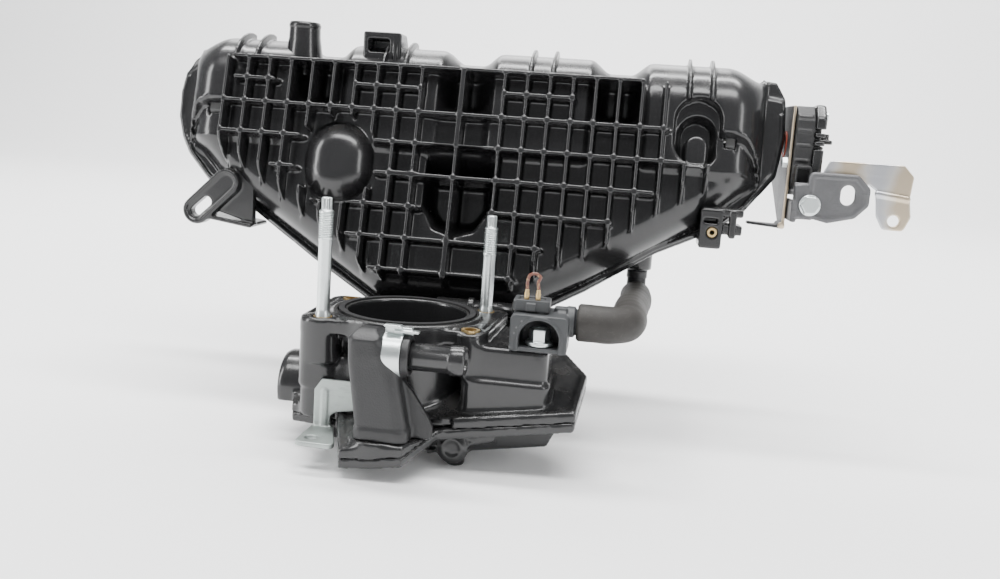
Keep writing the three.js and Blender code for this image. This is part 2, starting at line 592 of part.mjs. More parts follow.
function throttle_chamber() {
  const plate = prism('z', rounded([[-62, -209], [-2, -211], [41, -207], [44, -140], [-62, -140]], 8, 4),
    throttle_top - 8, throttle_top);
  const collar = rod('z', throttle_centre, 42, throttle_top - 12, throttle_top + 2, 32);
  const duct = rod('z', throttle_centre, 37, chamber_floor, throttle_top - 5, 32);
  const column = prism('z', rounded(rectangle(-62, -209, -42, -172), 7), -104, throttle_top - 2);
  const shoulder = loft([[0, -122], [0, -108], [3, -98], [5, -88]].map(([less, z]) =>
    rounded(rectangle(-62 + less, -208 + less, -20, -150), 8).map(([x, y]) => [x, y, z])));
  const disc = rod('x', [-172, -113], 19, -78, -30, 24);
  const box = loft([[0, -118], [0, -91], [1.6, -89.5], [2.4, -72.5]].map(([less, z]) =>
    box_at(less).map(([x, y]) => [x, y, z])));
  const outlet = join(
    prism('x', [[-127.3, -84.5], [-99.6, -110.3], [-57, -121.7], [-45.8, -79.6],
      [-88, -68.2], [-90.3, -80], [-97, -80.5], [-99, -74], [-127.3, -74]], -58, 58),
    prism('x', [[-142, -83], [-126, -83], [-126, -74], [-142, -74]], -58, 8),
    prism('x', [[-127.2, -76], [-122, -76], [-122, -72.6], [-127.2, -72.6]], 24, 34));
  const bosses = [...stud_points, ...insert_points].map((point) =>
    rod('z', point, 8.5, throttle_top - 24, throttle_top - 1, 12));
  const socket = rod('z', socket_axis, 14.5, -132, -119, 24);
  const rim = rim_slab(rounded(rim_outline, 7), gap / 2, rim_depth);
  const body = join(plate, collar, duct, column, shoulder, disc, box, ...bosses, socket, rim);
  const below_rim = rim_slab(rectangle(-140, -300, 160, -127.6), -90, gap / 2);

  const bore = rod('z', throttle_centre, throttle_bore, -130, 0, 32);
  const seal_seat = tube('z', throttle_centre, 38.8, 34.8, throttle_top - 0.6, throttle_top + 4, 32);
  const box_space = prism('z', box_at(5), -140, -75.5);
  const disc_space = rod('x', [-172, -113], 15, -74.5, -10, 16);
  const outlet_space = join(
    prism('x', [[-124, -82.5], [-98, -107.5], [-60, -118], [-49, -70], [-87, -60], [-92.5, -83.2],
      [-99.2, -83.6],
      [-101, -77], [-124, -77]], -54.5, 54.5),
    prism('x', [[-152, -81], [-123, -81], [-123, -77], [-152, -77]], -54.5, 5));
  const rim_space = rim_slab(rounded(inset(base_outline, 5), 4), -5, 3);
  const holes = [...stud_points, ...insert_points].map((point) =>
    rod('z', point, 5.4, throttle_top - 20, 0, 12));
  const socket_bore = rod('z', socket_axis, 10.6, -140, -100, 20);
  const valve_bolt_hole = rod('z', valve_bolt_point, 3.4, -80, -70);
  const elbow_room = prism('z', rectangle(-27, -246, 27, -217), -119, -60);
  return cut(join(cut(body, below_rim), outlet), bore, seal_seat, box_space, disc_space, outlet_space,
    rim_space, ...holes,
    socket_bore, valve_bolt_hole, elbow_room);
}
part('throttle_chamber', throttle_chamber(), nylon);

function chamber_base() {
  const rim = rim_slab(rounded(rim_outline, 7), -rim_depth, -gap / 2);
  const pan = (less, top) => {
    const level = (shrink, place) => rounded(inset(base_outline, shrink + less), 6).map(([x, y]) =>
      [x, y, place(x, y)]);
    return loft([level(7, (x, y) => Math.max(pan_bottom + less, rim_height(x, y) - 24 + less)),
      level(0, (x, y) => rim_height(x, y) - 8), level(0, (x, y) => rim_height(x, y) + top)]);
  };
  const drain = join(rod('y', [26, -130], 8.5, -209, -190, 24), rod('z', [27, -201], 5, -141, -128, 16));
  const drain_bore = rod('z', [27, -201], 2.2, -150, -128, 12);
  const lip = rod('z', socket_axis, 13, -132.8, -122, 24);
  const above = rim_slab(rectangle(-140, -300, 160, -60), -gap / 2, 60);
  return cut(join(rim, pan(0, 1), drain, lip), pan(3, 5), above, drain_bore,
    rod('z', socket_axis, 10.6, -131, -100, 20));
}
part('chamber_base', chamber_base(), nylon);

part('throttle_seal', tube('z', throttle_centre, 38.4, 35.2, throttle_top - 0.3, throttle_top + 2.6,
  32), seal_rubber);
const stud_heights = [64, 56];
const stud_profile = (height) => [[0, -18], [4, -18], [4, 2], [3.5, 2], [3.5, height - 22],
  [4, height - 20],
  [4, height - 7], [3, height - 6], [2.9, height], [0, height]];
stud_points.forEach((point, i) => {
  part(`throttle_stud_${i + 1}`, turned('z', stud_profile(stud_heights[i]), [...point, throttle_top],
    12), zinc);
  part(`stud_insert_${i + 1}`, tube('z', point, 5.1, 4.4, throttle_top - 19, throttle_top, 12), brass);
});
insert_points.forEach((point, i) => {
  part(`bolt_insert_${i + 1}`, tube('z', point, 5.1, 3.4, throttle_top - 19, throttle_top + 0.3, 12),
    brass);
});

// ---- Breather: elbow, nipple and spring clamp ----
const nipple_z = -76;
const [elbow_x, elbow_y] = socket_axis;
const column_foot = -118.6;
function breather_elbow() {
  const bend = [[elbow_x, elbow_y, -136], [elbow_x, elbow_y, -104], [elbow_x - 1, elbow_y, -88],
    [elbow_x + 4, elbow_y, nipple_z - 2], [elbow_x + 12, elbow_y, nipple_z]];
  const section = (left, right, half_depth, z) =>
    rounded(rectangle(left, elbow_y - half_depth, right, elbow_y + half_depth), 6).map(([x, y]) =>
      [x, y, z]);
  const outer = join(
    rod('z', socket_axis, 10.2, -130.6, column_foot + 2, 20),
    loft([section(-19.5, 6.5, 11.6, column_foot), section(-24.5, 5.5, 11.5, -90)]),
    loft([section(-24.6, -8, 12, -91), section(-26, -9, 11.5, -70), section(-23, -10, 8, -62.5)]),
    prism('y', [[4, -89.5], [8, -90], [25, -116], [24, -118.6], [4, -118.6]], elbow_y - 2, elbow_y + 2),
    rod('x', [elbow_y, nipple_z], 10.4, elbow_x - 8, elbow_x + 16, 20));
  return cut(outer, sweep(bend, circle(0, 0, 5, 12), 10),
    rod('x', [elbow_y, nipple_z], 7.8, elbow_x + 4, elbow_x + 30, 20));
}
part('breather_elbow', breather_elbow(), matte_nylon);
part('breather_nipple', cut(
  join(rod('x', [elbow_y, nipple_z], 7, elbow_x + 7, 34, 20),
    rod('x', [elbow_y, nipple_z], 7.8, 26, 33, 20)),
  rod('x', [elbow_y, nipple_z], 4.6, elbow_x, 40, 16)), nylon);
part('nipple_clamp', join(
  tube('x', [elbow_y, nipple_z], 11.7, 10.9, -8, 2, 24),
  prism('x', rectangle(elbow_y - 2, nipple_z + 11.2, elbow_y - 0.8, nipple_z + 16), -8, -3),
  prism('x', rectangle(elbow_y - 5, nipple_z + 15, elbow_y - 0.8, nipple_z + 16.2), -10, -3),
  prism('x', rectangle(elbow_y + 2, nipple_z + 11, elbow_y + 3.2, nipple_z + 15), -3, 5),
  prism('x', rectangle(elbow_y - 2, nipple_z + 14, elbow_y + 3.2, nipple_z + 15.2), -2, 6)), zinc);

// ---- Stay, pipe ----
part('lower_stay', cut(
  join(prism('z', rounded([[-52, -239], [-31, -239.5], [-40.5, -210], [-50, -210]], 4), -127, -124),
    prism('y', [[-50, -127], [-40.5, -127], [-40.5, -118], [-37.5, -115.8], [-22, -113.5], [-22, -98],
      [-46, -98],
      [-50, -104]], -212.6, -210)),
  rod('z', [-45, -231], 3.2, -140, -110, 12)), zinc);
const pipe_axis = [-127.5, -68];
part('return_pipe', cut(
  join(rod('x', pipe_axis, 4.2, -2, 56, 16), rod('x', pipe_axis, 5.4, 17, 21, 16),
    rod('x', pipe_axis, 5.4, 44, 47, 16)),
  rod('x', pipe_axis, 3.1, -4, 60, 16)), nylon);

// ---- Vacuum hose from the valve to the rear shell ----
const hose_height = -61.5;
const nipple_route = [[118, -60, -46.4], [118, -60, -53], [118, -63, -59], [118, -70, hose_height],
  [118, -92, hose_height]];
part('hose_nipple', cut(sweep(nipple_route, circle(0, 0, 6.8, 10), 8),
  sweep([[118, -60, -40], ...nipple_route.slice(1, 4), [118, -98, hose_height]], circle(0, 0, 4.4, 8),
    8)), matte_nylon);
const hose_start = -57.5;
const hose_route = [[86.5, -196, hose_start], [95, -196, hose_start], [104, -194.5, hose_start - 0.3],
  [111, -188, hose_start - 0.5], [113.5, -177, hose_start - 0.8], [114, -150, -59], [116, -120, -60.5],
  [118, -95, hose_height], [118, -73.5, hose_height]];
const hose_inside = [[80, -196, hose_start], ...hose_route.slice(1, -1), [118, -66, hose_height]];
part('vacuum_hose', cut(sweep(hose_route, circle(0, 0, 10, 12), 16),
  sweep(hose_inside, circle(0, 0, 8, 12), 17)), hose_rubber);

// ---- Vacuum valve on the box ----
const valve = { left: 52.7, right: 82.7, front: -213, back: -186, low: -72.2, high: -52.7 };
function valve_body() {
  const block = prism('y', rounded(rectangle(valve.left, valve.low, valve.right, valve.high), 2),
    valve.front, valve.back);
  const pocket = prism('y', [[56.5, -73], [79, -73], [79, -64], [76, -58], [70, -55], [65, -55],
    [59, -58], [56.5, -64]],
    valve.front - 1, valve.front + 17);
  const port = rod('x', [-196, -57.5], 6.8, valve.right - 6, 100, 20);
  const chamber = rod('x', [-190.5, -61], 5.6, valve.left + 3, valve.right + 2, 20);
  const port_bore = rod('x', [-195, -58.5], 3.2, valve.right - 8, 110, 12);
  const ledge = prism('z', rectangle(valve.left, valve.front, valve.right, valve.front + 18), valve.low,
    valve.low + 2.6);
  const bolt_hole = rod('z', valve_bolt_point, 3.4, -80, -60, 16);
  return cut(join(cut(block, pocket), port, ledge), chamber, port_bore, bolt_hole);
}
part('valve_body', valve_body(), grey_plastic);
part('valve_plunger', rod('x', [-190.5, -61], 5.4, valve.left + 6, valve.left + 16, 20), steel);
part('valve_connector', prism('y', rounded(rectangle(53, valve.high + gap, 72, -46), 1.5), -207, -193),
  grey_plastic);
[59.5, 65.5].forEach((x, i) => {
  part(`valve_terminal_${i + 1}`, rod('z', [x, -203], 1.2, -45.7, -41, 10), brass);
});
const wire_route = [[59.5, -203, -40.7], [60, -203, -36], [64, -203, -32.5], [66, -203, -35],
  [65.5, -203, -40.7]];
part('valve_wire', sweep(wire_route, circle(0, 0, 1.1, 8), 14), wire_brown);
part('valve_bolt', join(rod('z', valve_bolt_point, 3, -74, -68, 16),
  rod('z', valve_bolt_point, 7.5, -69.3, -67.5, 20),
  prism('z', hexagon(...valve_bolt_point, 10), -67.6, -60.5)), zinc);

manifold.updateMatrixWorld(true);
export default manifold;
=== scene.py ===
import math

import bpy
import numpy as np
from mathutils import Matrix, Vector


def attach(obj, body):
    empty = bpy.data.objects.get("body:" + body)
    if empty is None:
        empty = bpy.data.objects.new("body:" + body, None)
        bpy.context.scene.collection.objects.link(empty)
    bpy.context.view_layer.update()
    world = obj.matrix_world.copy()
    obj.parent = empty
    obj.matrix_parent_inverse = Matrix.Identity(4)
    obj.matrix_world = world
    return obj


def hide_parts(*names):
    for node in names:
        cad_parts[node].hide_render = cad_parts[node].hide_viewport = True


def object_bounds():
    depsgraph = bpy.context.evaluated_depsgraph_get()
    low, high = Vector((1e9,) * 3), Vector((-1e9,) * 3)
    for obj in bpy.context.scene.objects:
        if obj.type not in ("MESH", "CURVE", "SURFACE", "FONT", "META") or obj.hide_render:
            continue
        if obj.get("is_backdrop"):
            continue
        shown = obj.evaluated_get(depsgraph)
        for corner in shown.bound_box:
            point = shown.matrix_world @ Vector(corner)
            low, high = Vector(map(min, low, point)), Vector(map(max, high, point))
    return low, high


bl_info = {
    "name": "Four Runner Intake Manifold",
    "version": (1, 0, 0),
    "blender": (4, 5, 0),
    "location": "View3D > Sidebar > Manifold",
    "description": "Ribbed nylon intake manifold with its throttle chamber, valves and brackets",
    "category": "Add Mesh",
}

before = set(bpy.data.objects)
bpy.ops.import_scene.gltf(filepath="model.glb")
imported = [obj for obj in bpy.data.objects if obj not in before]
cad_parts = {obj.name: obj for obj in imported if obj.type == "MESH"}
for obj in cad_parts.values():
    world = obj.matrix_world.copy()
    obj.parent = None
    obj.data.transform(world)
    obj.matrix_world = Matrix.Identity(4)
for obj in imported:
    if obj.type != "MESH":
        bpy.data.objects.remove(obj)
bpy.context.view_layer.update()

ROOT = "manifold"
MM = 0.001
LEAN = math.radians(15)
SHELL_FOOT = (0.0, -90.8, -122.5)
RUNNERS = (-144.0, -48.0, 48.0, 144.0)
SHAFT_AXIS = (-24, 0)  # y and z of the runner valve shaft
HALF_GAP = 0.15  # half of the gap that two welded halves keep
MATERIALS = {}


# ---- Signed distances, in millimetres; below zero is inside ----
def blend(first, second, soft=0.6):
    """Two shapes joined by a fillet."""
    share = np.clip(0.5 + 0.5 * (second - first) / soft, 0, 1)
    return second + (first - second) * share - soft * share * (1 - share)


def both(first, second, soft=0.6):
    """What two shapes have in common, with a rounded edge."""
    return -blend(-first, -second, soft)


def cut(shape, tool, soft=0.6):
    """The shape with the tool taken out of it."""
    return both(shape, -tool, soft)


def joined(shapes, soft=0.6):
    """All the shapes, with a fillet where they meet."""
    result = shapes[0]
    for shape in shapes[1:]:
        result = blend(result, shape, soft)
    return result


def between(along, low, high):
    """The room between two planes across an axis."""
    return np.maximum(low - along, along - high)


def slab(outline, along, low, high, soft=0.6):
    """An outline carried from low to high, with a rounded edge."""
    return both(outline, between(along, low, high), soft)


def disc(a, b, centre, radius):
    return np.hypot(a - centre[0], b - centre[1]) - radius


def ring(a, b, centre, outer, inner):
    reach = np.hypot(a - centre[0], b - centre[1])
    return np.maximum(reach - outer, inner - reach)


def oblong(a, b, low, high, corner):
    """A rectangle from low to high with rounded corners."""
    out_a = np.abs(a - (low[0] + high[0]) / 2) - (high[0] - low[0]) / 2 + corner
    out_b = np.abs(b - (low[1] + high[1]) / 2) - (high[1] - low[1]) / 2 + corner
    outside = np.hypot(np.maximum(out_a, 0), np.maximum(out_b, 0))
    return outside + np.minimum(np.maximum(out_a, out_b), 0) - corner


def slot_shape(a, b, start, end, radius):
    """A bar with round ends from start to end."""
    run = (end[0] - start[0], end[1] - start[1])
    length = run[0] ** 2 + run[1] ** 2
    along = np.clip(((a - start[0]) * run[0] + (b - start[1]) * run[1]) / length, 0, 1)
    return np.hypot(a - start[0] - along * run[0], b - start[1] - along * run[1]) - radius


def polygon(a, b, corners, corner=0.0):
    """A closed outline; corner rounds its outer corners."""
    nearest, inside = np.inf, False
    for i, (a1, b1) in enumerate(corners):
        a0, b0 = corners[i - 1]
        run_a, run_b = a1 - a0, b1 - b0
        along = np.clip(((a - a0) * run_a + (b - b0) * run_b) / (run_a**2 + run_b**2), 0, 1)
        nearest = np.minimum(nearest, np.hypot(a - a0 - along * run_a, b - b0 - along * run_b))
        crosses = (b0 > b) != (b1 > b)
        side = a < run_a * (b - b0) / (run_b if run_b else 1e-9) + a0
        inside = inside ^ (crosses & side)
    return np.where(inside, -nearest, nearest) - corner


def hexagon(a, b, centre, flats):
    """A six-sided outline, flats across."""
    result = -np.inf
    for k in range(3):
        angle = math.pi * k / 3 + math.pi / 6
        across = (a - centre[0]) * math.cos(angle) + (b - centre[1]) * math.sin(angle)
        result = np.maximum(result, np.abs(across) - flats / 2)
    return result


def smooth_step(value):
    value = np.clip(value, 0, 1)
    return value * value * (3 - 2 * value)


# ---- Meshes ----
def surface_of(field, axes):
    """Points and four-sided faces where the field changes sign on a grid of uneven lines."""
    shape = tuple(len(lines) for lines in axes)
    field = np.ascontiguousarray(np.broadcast_to(field, shape))
    inside = field < 0
    offsets = [(i, j, k) for i in (0, 1) for j in (0, 1) for k in (0, 1)]
    count = sum(
        inside[i:shape[0] - 1 + i, j:shape[1] - 1 + j, k:shape[2] - 1 + k].astype(np.int8)
        for i, j, k in offsets
    )
    mixed = (count > 0) & (count < 8)
    cells = np.argwhere(mixed)
    number = np.full(mixed.shape, -1, np.int64)
    number[mixed] = np.arange(len(cells))
    total, hits = np.zeros((len(cells), 3)), np.zeros(len(cells))
    for first in offsets:
        for axis in range(3):
            if first[axis]:
                continue
            second = tuple(v + (n == axis) for n, v in enumerate(first))
            start, end = cells + first, cells + second
            a, b = field[tuple(start.T)], field[tuple(end.T)]
            crossed = (a < 0) != (b < 0)
            share = np.where(crossed, a / np.where(crossed, a - b, 1), 0)
            for n, lines in enumerate(axes):
                low, high = lines[start[:, n]], lines[end[:, n]]
                total[:, n] += np.where(crossed, low + share * (high - low), 0)
            hits += crossed
    points = total / hits[:, None]
    faces = []
    for axis in range(3):
        i, j = (axis + 1) % 3, (axis + 2) % 3
        low = inside.take(range(shape[axis] - 1), axis)
        high = inside.take(range(1, shape[axis]), axis)
        edges = np.argwhere(low != high)
        kept = (edges[:, i] > 0) & (edges[:, j] > 0)
        kept &= (edges[:, i] < shape[i] - 1) & (edges[:, j] < shape[j] - 1)
        edges = edges[kept]
        corners = []
        for step_i, step_j in ((0, 0), (1, 0), (1, 1), (0, 1)):
            cell = edges.copy()
            cell[:, i] -= step_i
            cell[:, j] -= step_j
            corners.append(number[tuple(cell.T)])
        quads = np.stack(corners, 1)
        outwards = low[tuple(edges.T)]
        quads[~outwards] = quads[~outwards][:, ::-1]
        faces.append(quads)
    return points, np.concatenate(faces)


def grid_lines(low, high, step, centres=(), offsets=(0,)):
    """Even lines from low to high with closer ones round each centre."""
    fine = sorted(c + o for c in centres for o in offsets if low <= c + o <= high)
    coarse = [v for v in np.arange(low, high + step, step) if all(abs(v - f) > step / 2 for f in fine)]
    return np.array(sorted(coarse + fine))


def upright(points):
    """Points of the leaning shell (x, up the shell, out of the shell) in the object's frame."""
    x, w, h = points.T
    sine, cosine = math.sin(LEAN), math.cos(LEAN)
    return np.column_stack([x, SHELL_FOOT[1] + w * sine - h * cosine,
                            SHELL_FOOT[2] + w * cosine + h * sine])


def piece_from(name, points, faces, finish, replaced=""):
    """A mesh piece from millimetre points, in a finish, in place of a frame node where one is named."""
    mesh = bpy.data.meshes.new(name)
    faces = np.asarray(faces)
    mesh.vertices.add(len(points))
    mesh.vertices.foreach_set("co", (np.asarray(points, float) * MM).ravel())
    sides = faces.shape[1]
    mesh.loops.add(faces.size)
    mesh.loops.foreach_set("vertex_index", faces.ravel().astype(np.int32))
    mesh.polygons.add(len(faces))
    mesh.polygons.foreach_set("loop_start", np.arange(0, faces.size, sides, dtype=np.int32))
    mesh.polygons.foreach_set("use_smooth", np.full(len(faces), True))
    mesh.update(calc_edges=True)
    mesh.validate()
    piece = bpy.data.objects.new(name, mesh)
    bpy.context.scene.collection.objects.link(piece)
    mesh.materials.append(MATERIALS[finish])
    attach(piece, ROOT)
    if replaced:
        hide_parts(replaced)
    return piece


def moulded(name, shape, low, high, step, finish, replaced=""):
    """A piece whose surface is where shape(x, y, z) is zero, between two corners."""
    axes = [np.arange(a - step, b + 1.5 * step, step) for a, b in zip(low, high)]
    x, y, z = np.meshgrid(*axes, indexing="ij", sparse=True)
    points, faces = surface_of(shape(x, y, z), axes)
    return piece_from(name, points, faces, finish, replaced)


def ring_faces(rings, sides, closed):
    """Faces of rings of points that follow each other."""
    faces = []
    for r in range(rings if closed else rings - 1):
        following = (r + 1) % rings
        for s in range(sides):
            t = (s + 1) % sides
            faces.append((r * sides + s, r * sides + t, following * sides + t, following * sides + s))
    return faces


AXES = {
    "x": Matrix(((0, 0, 1), (1, 0, 0), (0, 1, 0))),
    "y": Matrix(((1, 0, 0), (0, 0, 1), (0, -1, 0))),
    "z": Matrix.Identity(3),
}


def turned(name, profile, centre, axis, finish, replaced="", sides=64, ripple=None):
    """A closed outline of (radius, height) points turned round an axis; ripple changes the radius."""
    turn = np.array(AXES[axis])
    angles = np.linspace(0, 2 * math.pi, sides, endpoint=False)
    points = []
    for radius, height in profile:
        grown = radius + (ripple(radius, height, angles) if ripple else 0 * angles)
        points.append(np.column_stack([grown * np.cos(angles), grown * np.sin(angles),
                                       0 * angles + height]))
    points = np.concatenate(points) @ turn.T + np.array(centre)
    return piece_from(name, points, ring_faces(len(profile), sides, True), finish, replaced)


def curve_points(route, count):
    """Even points of a smooth curve through the route."""
    route = np.array(route, float)
    ends = np.vstack([2 * route[0] - route[1], route, 2 * route[-1] - route[-2]])
    dense = []
    for p0, p1, p2, p3 in zip(ends, ends[1:], ends[2:], ends[3:]):
        for t in np.linspace(0, 1, 40, endpoint=False):
            dense.append(0.5 * (2 * p1 + (p2 - p0) * t + (2 * p0 - 5 * p1 + 4 * p2 - p3) * t**2
                                + (3 * p1 - p0 - 3 * p2 + p3) * t**3))
    dense.append(route[-1])
    dense = np.array(dense)
    reach = np.concatenate([[0], np.cumsum(np.linalg.norm(np.diff(dense, axis=0), axis=1))])
    stations = np.linspace(0, reach[-1], count)
    return np.column_stack([np.interp(stations, reach, dense[:, n]) for n in range(3)])


def swept(name, route, outer, inner, finish, replaced="", count=80, sides=40):
    """A tube along a route. outer(share) and inner(share) give its radii; inner None means solid."""
    centre = curve_points(route, count)
    along = np.gradient(centre, axis=0)
    along /= np.linalg.norm(along, axis=1)[:, None]
    side = np.cross(along[0], [0.31, 0.2, 0.93])
    sides_at = []
    for direction in along:
        side = side - direction * side.dot(direction)
        side /= np.linalg.norm(side)
        sides_at.append(side)
    angles = np.linspace(0, 2 * math.pi, sides, endpoint=False)
    shares = np.linspace(0, 1, count)

    def ring_at(n, radius):
        other = np.cross(along[n], sides_at[n])
        return centre[n] + radius * (np.outer(np.cos(angles), sides_at[n])
                                     + np.outer(np.sin(angles), other))

    rings = [ring_at(n, outer(shares[n])) for n in range(count)]
    if inner:
        rings += [ring_at(n, inner(shares[n])) for n in reversed(range(count))]
        rings.append(ring_at(0, inner(0) + 0.01))
    else:
        rings = [ring_at(0, 0.01)] + rings + [ring_at(count - 1, 0.01)]
    faces = ring_faces(len(rings), sides, bool(inner))
    return piece_from(name, np.concatenate(rings), faces, finish, replaced)


# ---- Materials ----
class Value:
    """A socket's number in a material; arithmetic on it adds Math nodes."""

    def __init__(self, finish, socket):
        self.finish, self.socket = finish, socket

    def maths(self, operation, first, second=0.0):
        made = self.finish.node("ShaderNodeMath", {"operation": operation}, {0: first, 1: second})
        return Value(self.finish, made.outputs[0])

    def __add__(self, other):
        return self.maths("ADD", self, other)

    def __radd__(self, other):
        return self.maths("ADD", other, self)

    def __sub__(self, other):
        return self.maths("SUBTRACT", self, other)

    def __rsub__(self, other):
        return self.maths("SUBTRACT", other, self)

    def __mul__(self, other):
        return self.maths("MULTIPLY", self, other)

    def __rmul__(self, other):
        return self.maths("MULTIPLY", other, self)


class Finish:
    """A procedural material round one Principled shader, placed by the object's own coordinates."""

    def __init__(self, name, metal=0.0, coat=0.0, specular=0.5):
        self.material = bpy.data.materials.new(name)
        self.material.use_nodes = True
        self.nodes = self.material.node_tree.nodes
        self.links = self.material.node_tree.links
        self.shader = self.nodes["Principled BSDF"]
        self.shader.inputs["Metallic"].default_value = metal
        self.shader.inputs["Coat Weight"].default_value = coat
        self.shader.inputs["Coat Roughness"].default_value = 0.08
        self.shader.inputs["Specular IOR Level"].default_value = specular
        self.place = self.node("ShaderNodeTexCoord", {}, {}).outputs["Object"]

    def node(self, kind, settings, values):
        made = self.nodes.new(kind)
        for key, value in settings.items():
            if key == "stops":
                while len(made.color_ramp.elements) < len(value):
                    made.color_ramp.elements.new(0.5)
                for element, (position, shade) in zip(made.color_ramp.elements, value):
                    element.position, element.color = position, (shade, shade, shade, 1)
            else:
                setattr(made, key, value)
        for key, value in values.items():
            self.feed(made.inputs[key], value)
        return made

    def feed(self, socket, value):
        if isinstance(value, Value):
            self.links.new(value.socket, socket)
        elif isinstance(value, bpy.types.NodeSocket):
            self.links.new(value, socket)
        else:
            socket.default_value = value

    def stretched(self, scale, turn=(0, 0, 0)):
        return self.node("ShaderNodeMapping", {}, {"Vector": self.place, "Scale": scale,
                                                   "Rotation": turn}).outputs[0]

    def noise(self, scale, detail=3.0, roughness=0.55, place=None, distortion=0.0):
        made = self.node("ShaderNodeTexNoise", {}, {
            "Vector": place or self.place, "Scale": scale, "Detail": detail, "Roughness": roughness,
            "Distortion": distortion})
        return Value(self, made.outputs["Fac"])

    def cells(self, scale):
        made = self.node("ShaderNodeTexVoronoi", {}, {"Vector": self.place, "Scale": scale})
        return Value(self, made.outputs["Distance"])

    def ramp(self, value, stops):
        made = self.node("ShaderNodeValToRGB", {"stops": stops}, {"Fac": value})
        return Value(self, made.outputs[0])

    def worn_edges(self, start=0.53, full=0.62):
        made = self.node("ShaderNodeNewGeometry", {}, {})
        return self.ramp(Value(self, made.outputs["Pointiness"]), [(start, 0), (full, 1)])

    def upward(self):
        """How much a face looks up, where dust settles."""
        made = self.node("ShaderNodeNewGeometry", {}, {})
        split = self.node("ShaderNodeSeparateXYZ", {}, {0: made.outputs["Normal"]})
        return self.ramp(Value(self, split.outputs["Z"]), [(0.3, 0), (0.95, 1)])

    def mixed(self, share, first, second):
        made = self.node("ShaderNodeMix", {"data_type": "RGBA"}, {0: share, 6: first, 7: second})
        return made.outputs[2]

    def done(self, colour, roughness, height=None, strength=0.3, depth=0.0002):
        self.feed(self.shader.inputs["Base Color"], colour)
        self.feed(self.shader.inputs["Roughness"], roughness)
        if height is not None:
            bump = self.node("ShaderNodeBump", {}, {"Strength": strength, "Distance": depth,
                                                    "Height": height})
            self.links.new(bump.outputs[0], self.shader.inputs["Normal"])
        return self.material


def shade(colour, factor=1.0):
    """A colour for a socket, made darker or lighter."""
    return (colour[0] * factor, colour[1] * factor, colour[2] * factor, 1)


def gloss_nylon(colours):
    """Glass-filled nylon from a polished mould: glossy, faintly rippled, greyer on its edges."""
    finish = Finish("gloss_nylon", coat=0.12, specular=0.5)
    cloud = finish.noise(26, 4)
    flow = finish.noise(9, 5, 0.6, finish.stretched((1, 1, 3.2), (0, 0.4, 0)), 1.2)
    fibre = finish.noise(900, 2, 0.7, finish.stretched((1, 1, 0.35), (0.5, 0.8, 0)))
    speck = finish.noise(2600, 2)
    edge = finish.worn_edges()
    dust = finish.upward() * finish.ramp(finish.noise(60, 5), [(0.42, 0), (0.7, 1)])
    base = finish.mixed(cloud * 0.6 + fibre * 0.35, shade(colours.nylon, 0.7), shade(colours.nylon, 1.6))
    base = finish.mixed(dust * 0.08, base, shade(colours.dust))
    base = finish.mixed(edge * 0.14, base, shade(colours.worn_edge))
    rough = 0.16 + flow * 0.1 + fibre * 0.06 + edge * 0.12 + dust * 0.08
    return finish.done(base, rough, cloud * 0.9 + fibre * 0.16 + speck * 0.08 + flow * 1.2, 0.2, 0.0005)


def matte_nylon(colours):
    """Spark-eroded black nylon, as moulded."""
    finish = Finish("matte_nylon", specular=0.45)
    cloud = finish.noise(40, 4)
    pits = finish.cells(1100)
    grain = finish.noise(2300, 3)
    edge = finish.worn_edges()
    base = finish.mixed(cloud * 0.7 + grain * 0.3, shade(colours.nylon, 0.8), shade(colours.nylon, 1.9))
    base = finish.mixed(edge * 0.35, base, shade(colours.worn_edge))
    return finish.done(base, 0.34 + cloud * 0.14 + grain * 0.1, pits * 0.8 + grain * 0.5, 0.35, 0.0003)


def grey_plastic(colours):
    finish = Finish("grey_plastic", specular=0.45)
    cloud = finish.noise(55, 4)
    grain = finish.noise(1900, 3)
    edge = finish.worn_edges()
    base = finish.mixed(cloud * 0.6 + grain * 0.4, shade(colours.grey_plastic, 0.7),
                        shade(colours.grey_plastic, 1.25))
    base = finish.mixed(edge * 0.35, base, shade(colours.worn_edge, 1.5))
    return finish.done(base, 0.4 + cloud * 0.2, grain + cloud, 0.3, 0.0003)


def hose_rubber(colours):
    """Cloth-marked rubber with a dry, dusty bloom."""
    finish = Finish("hose_rubber", specular=0.3)
    bloom = finish.noise(75, 6, 0.65)
    grain = finish.noise(1500, 3)
    scuff = finish.ramp(finish.noise(260, 4, 0.7, finish.stretched((1, 0.3, 1.6)), 0.8),
                        [(0.55, 0), (0.72, 1)])
    base = finish.mixed(bloom, shade(colours.rubber, 0.65), shade(colours.rubber, 1.5))
    base = finish.mixed(scuff * 0.12, base, shade(colours.dust, 0.5))
    return finish.done(base, 0.5 + grain * 0.2, grain * 0.6 + bloom * 0.8, 0.3, 0.0003)


def seal_rubber(colours, name="seal_rubber", red=False):
    finish = Finish(name, specular=0.4)
    bloom = finish.noise(120, 4)
    grain = finish.noise(2400, 2)
    colour = colours.red_rubber if red else colours.nylon
    base = finish.mixed(bloom, shade(colour, 0.7), shade(colour, 1.5))
    return finish.done(base, 0.5 + grain * 0.2, grain, 0.3, 0.0002)


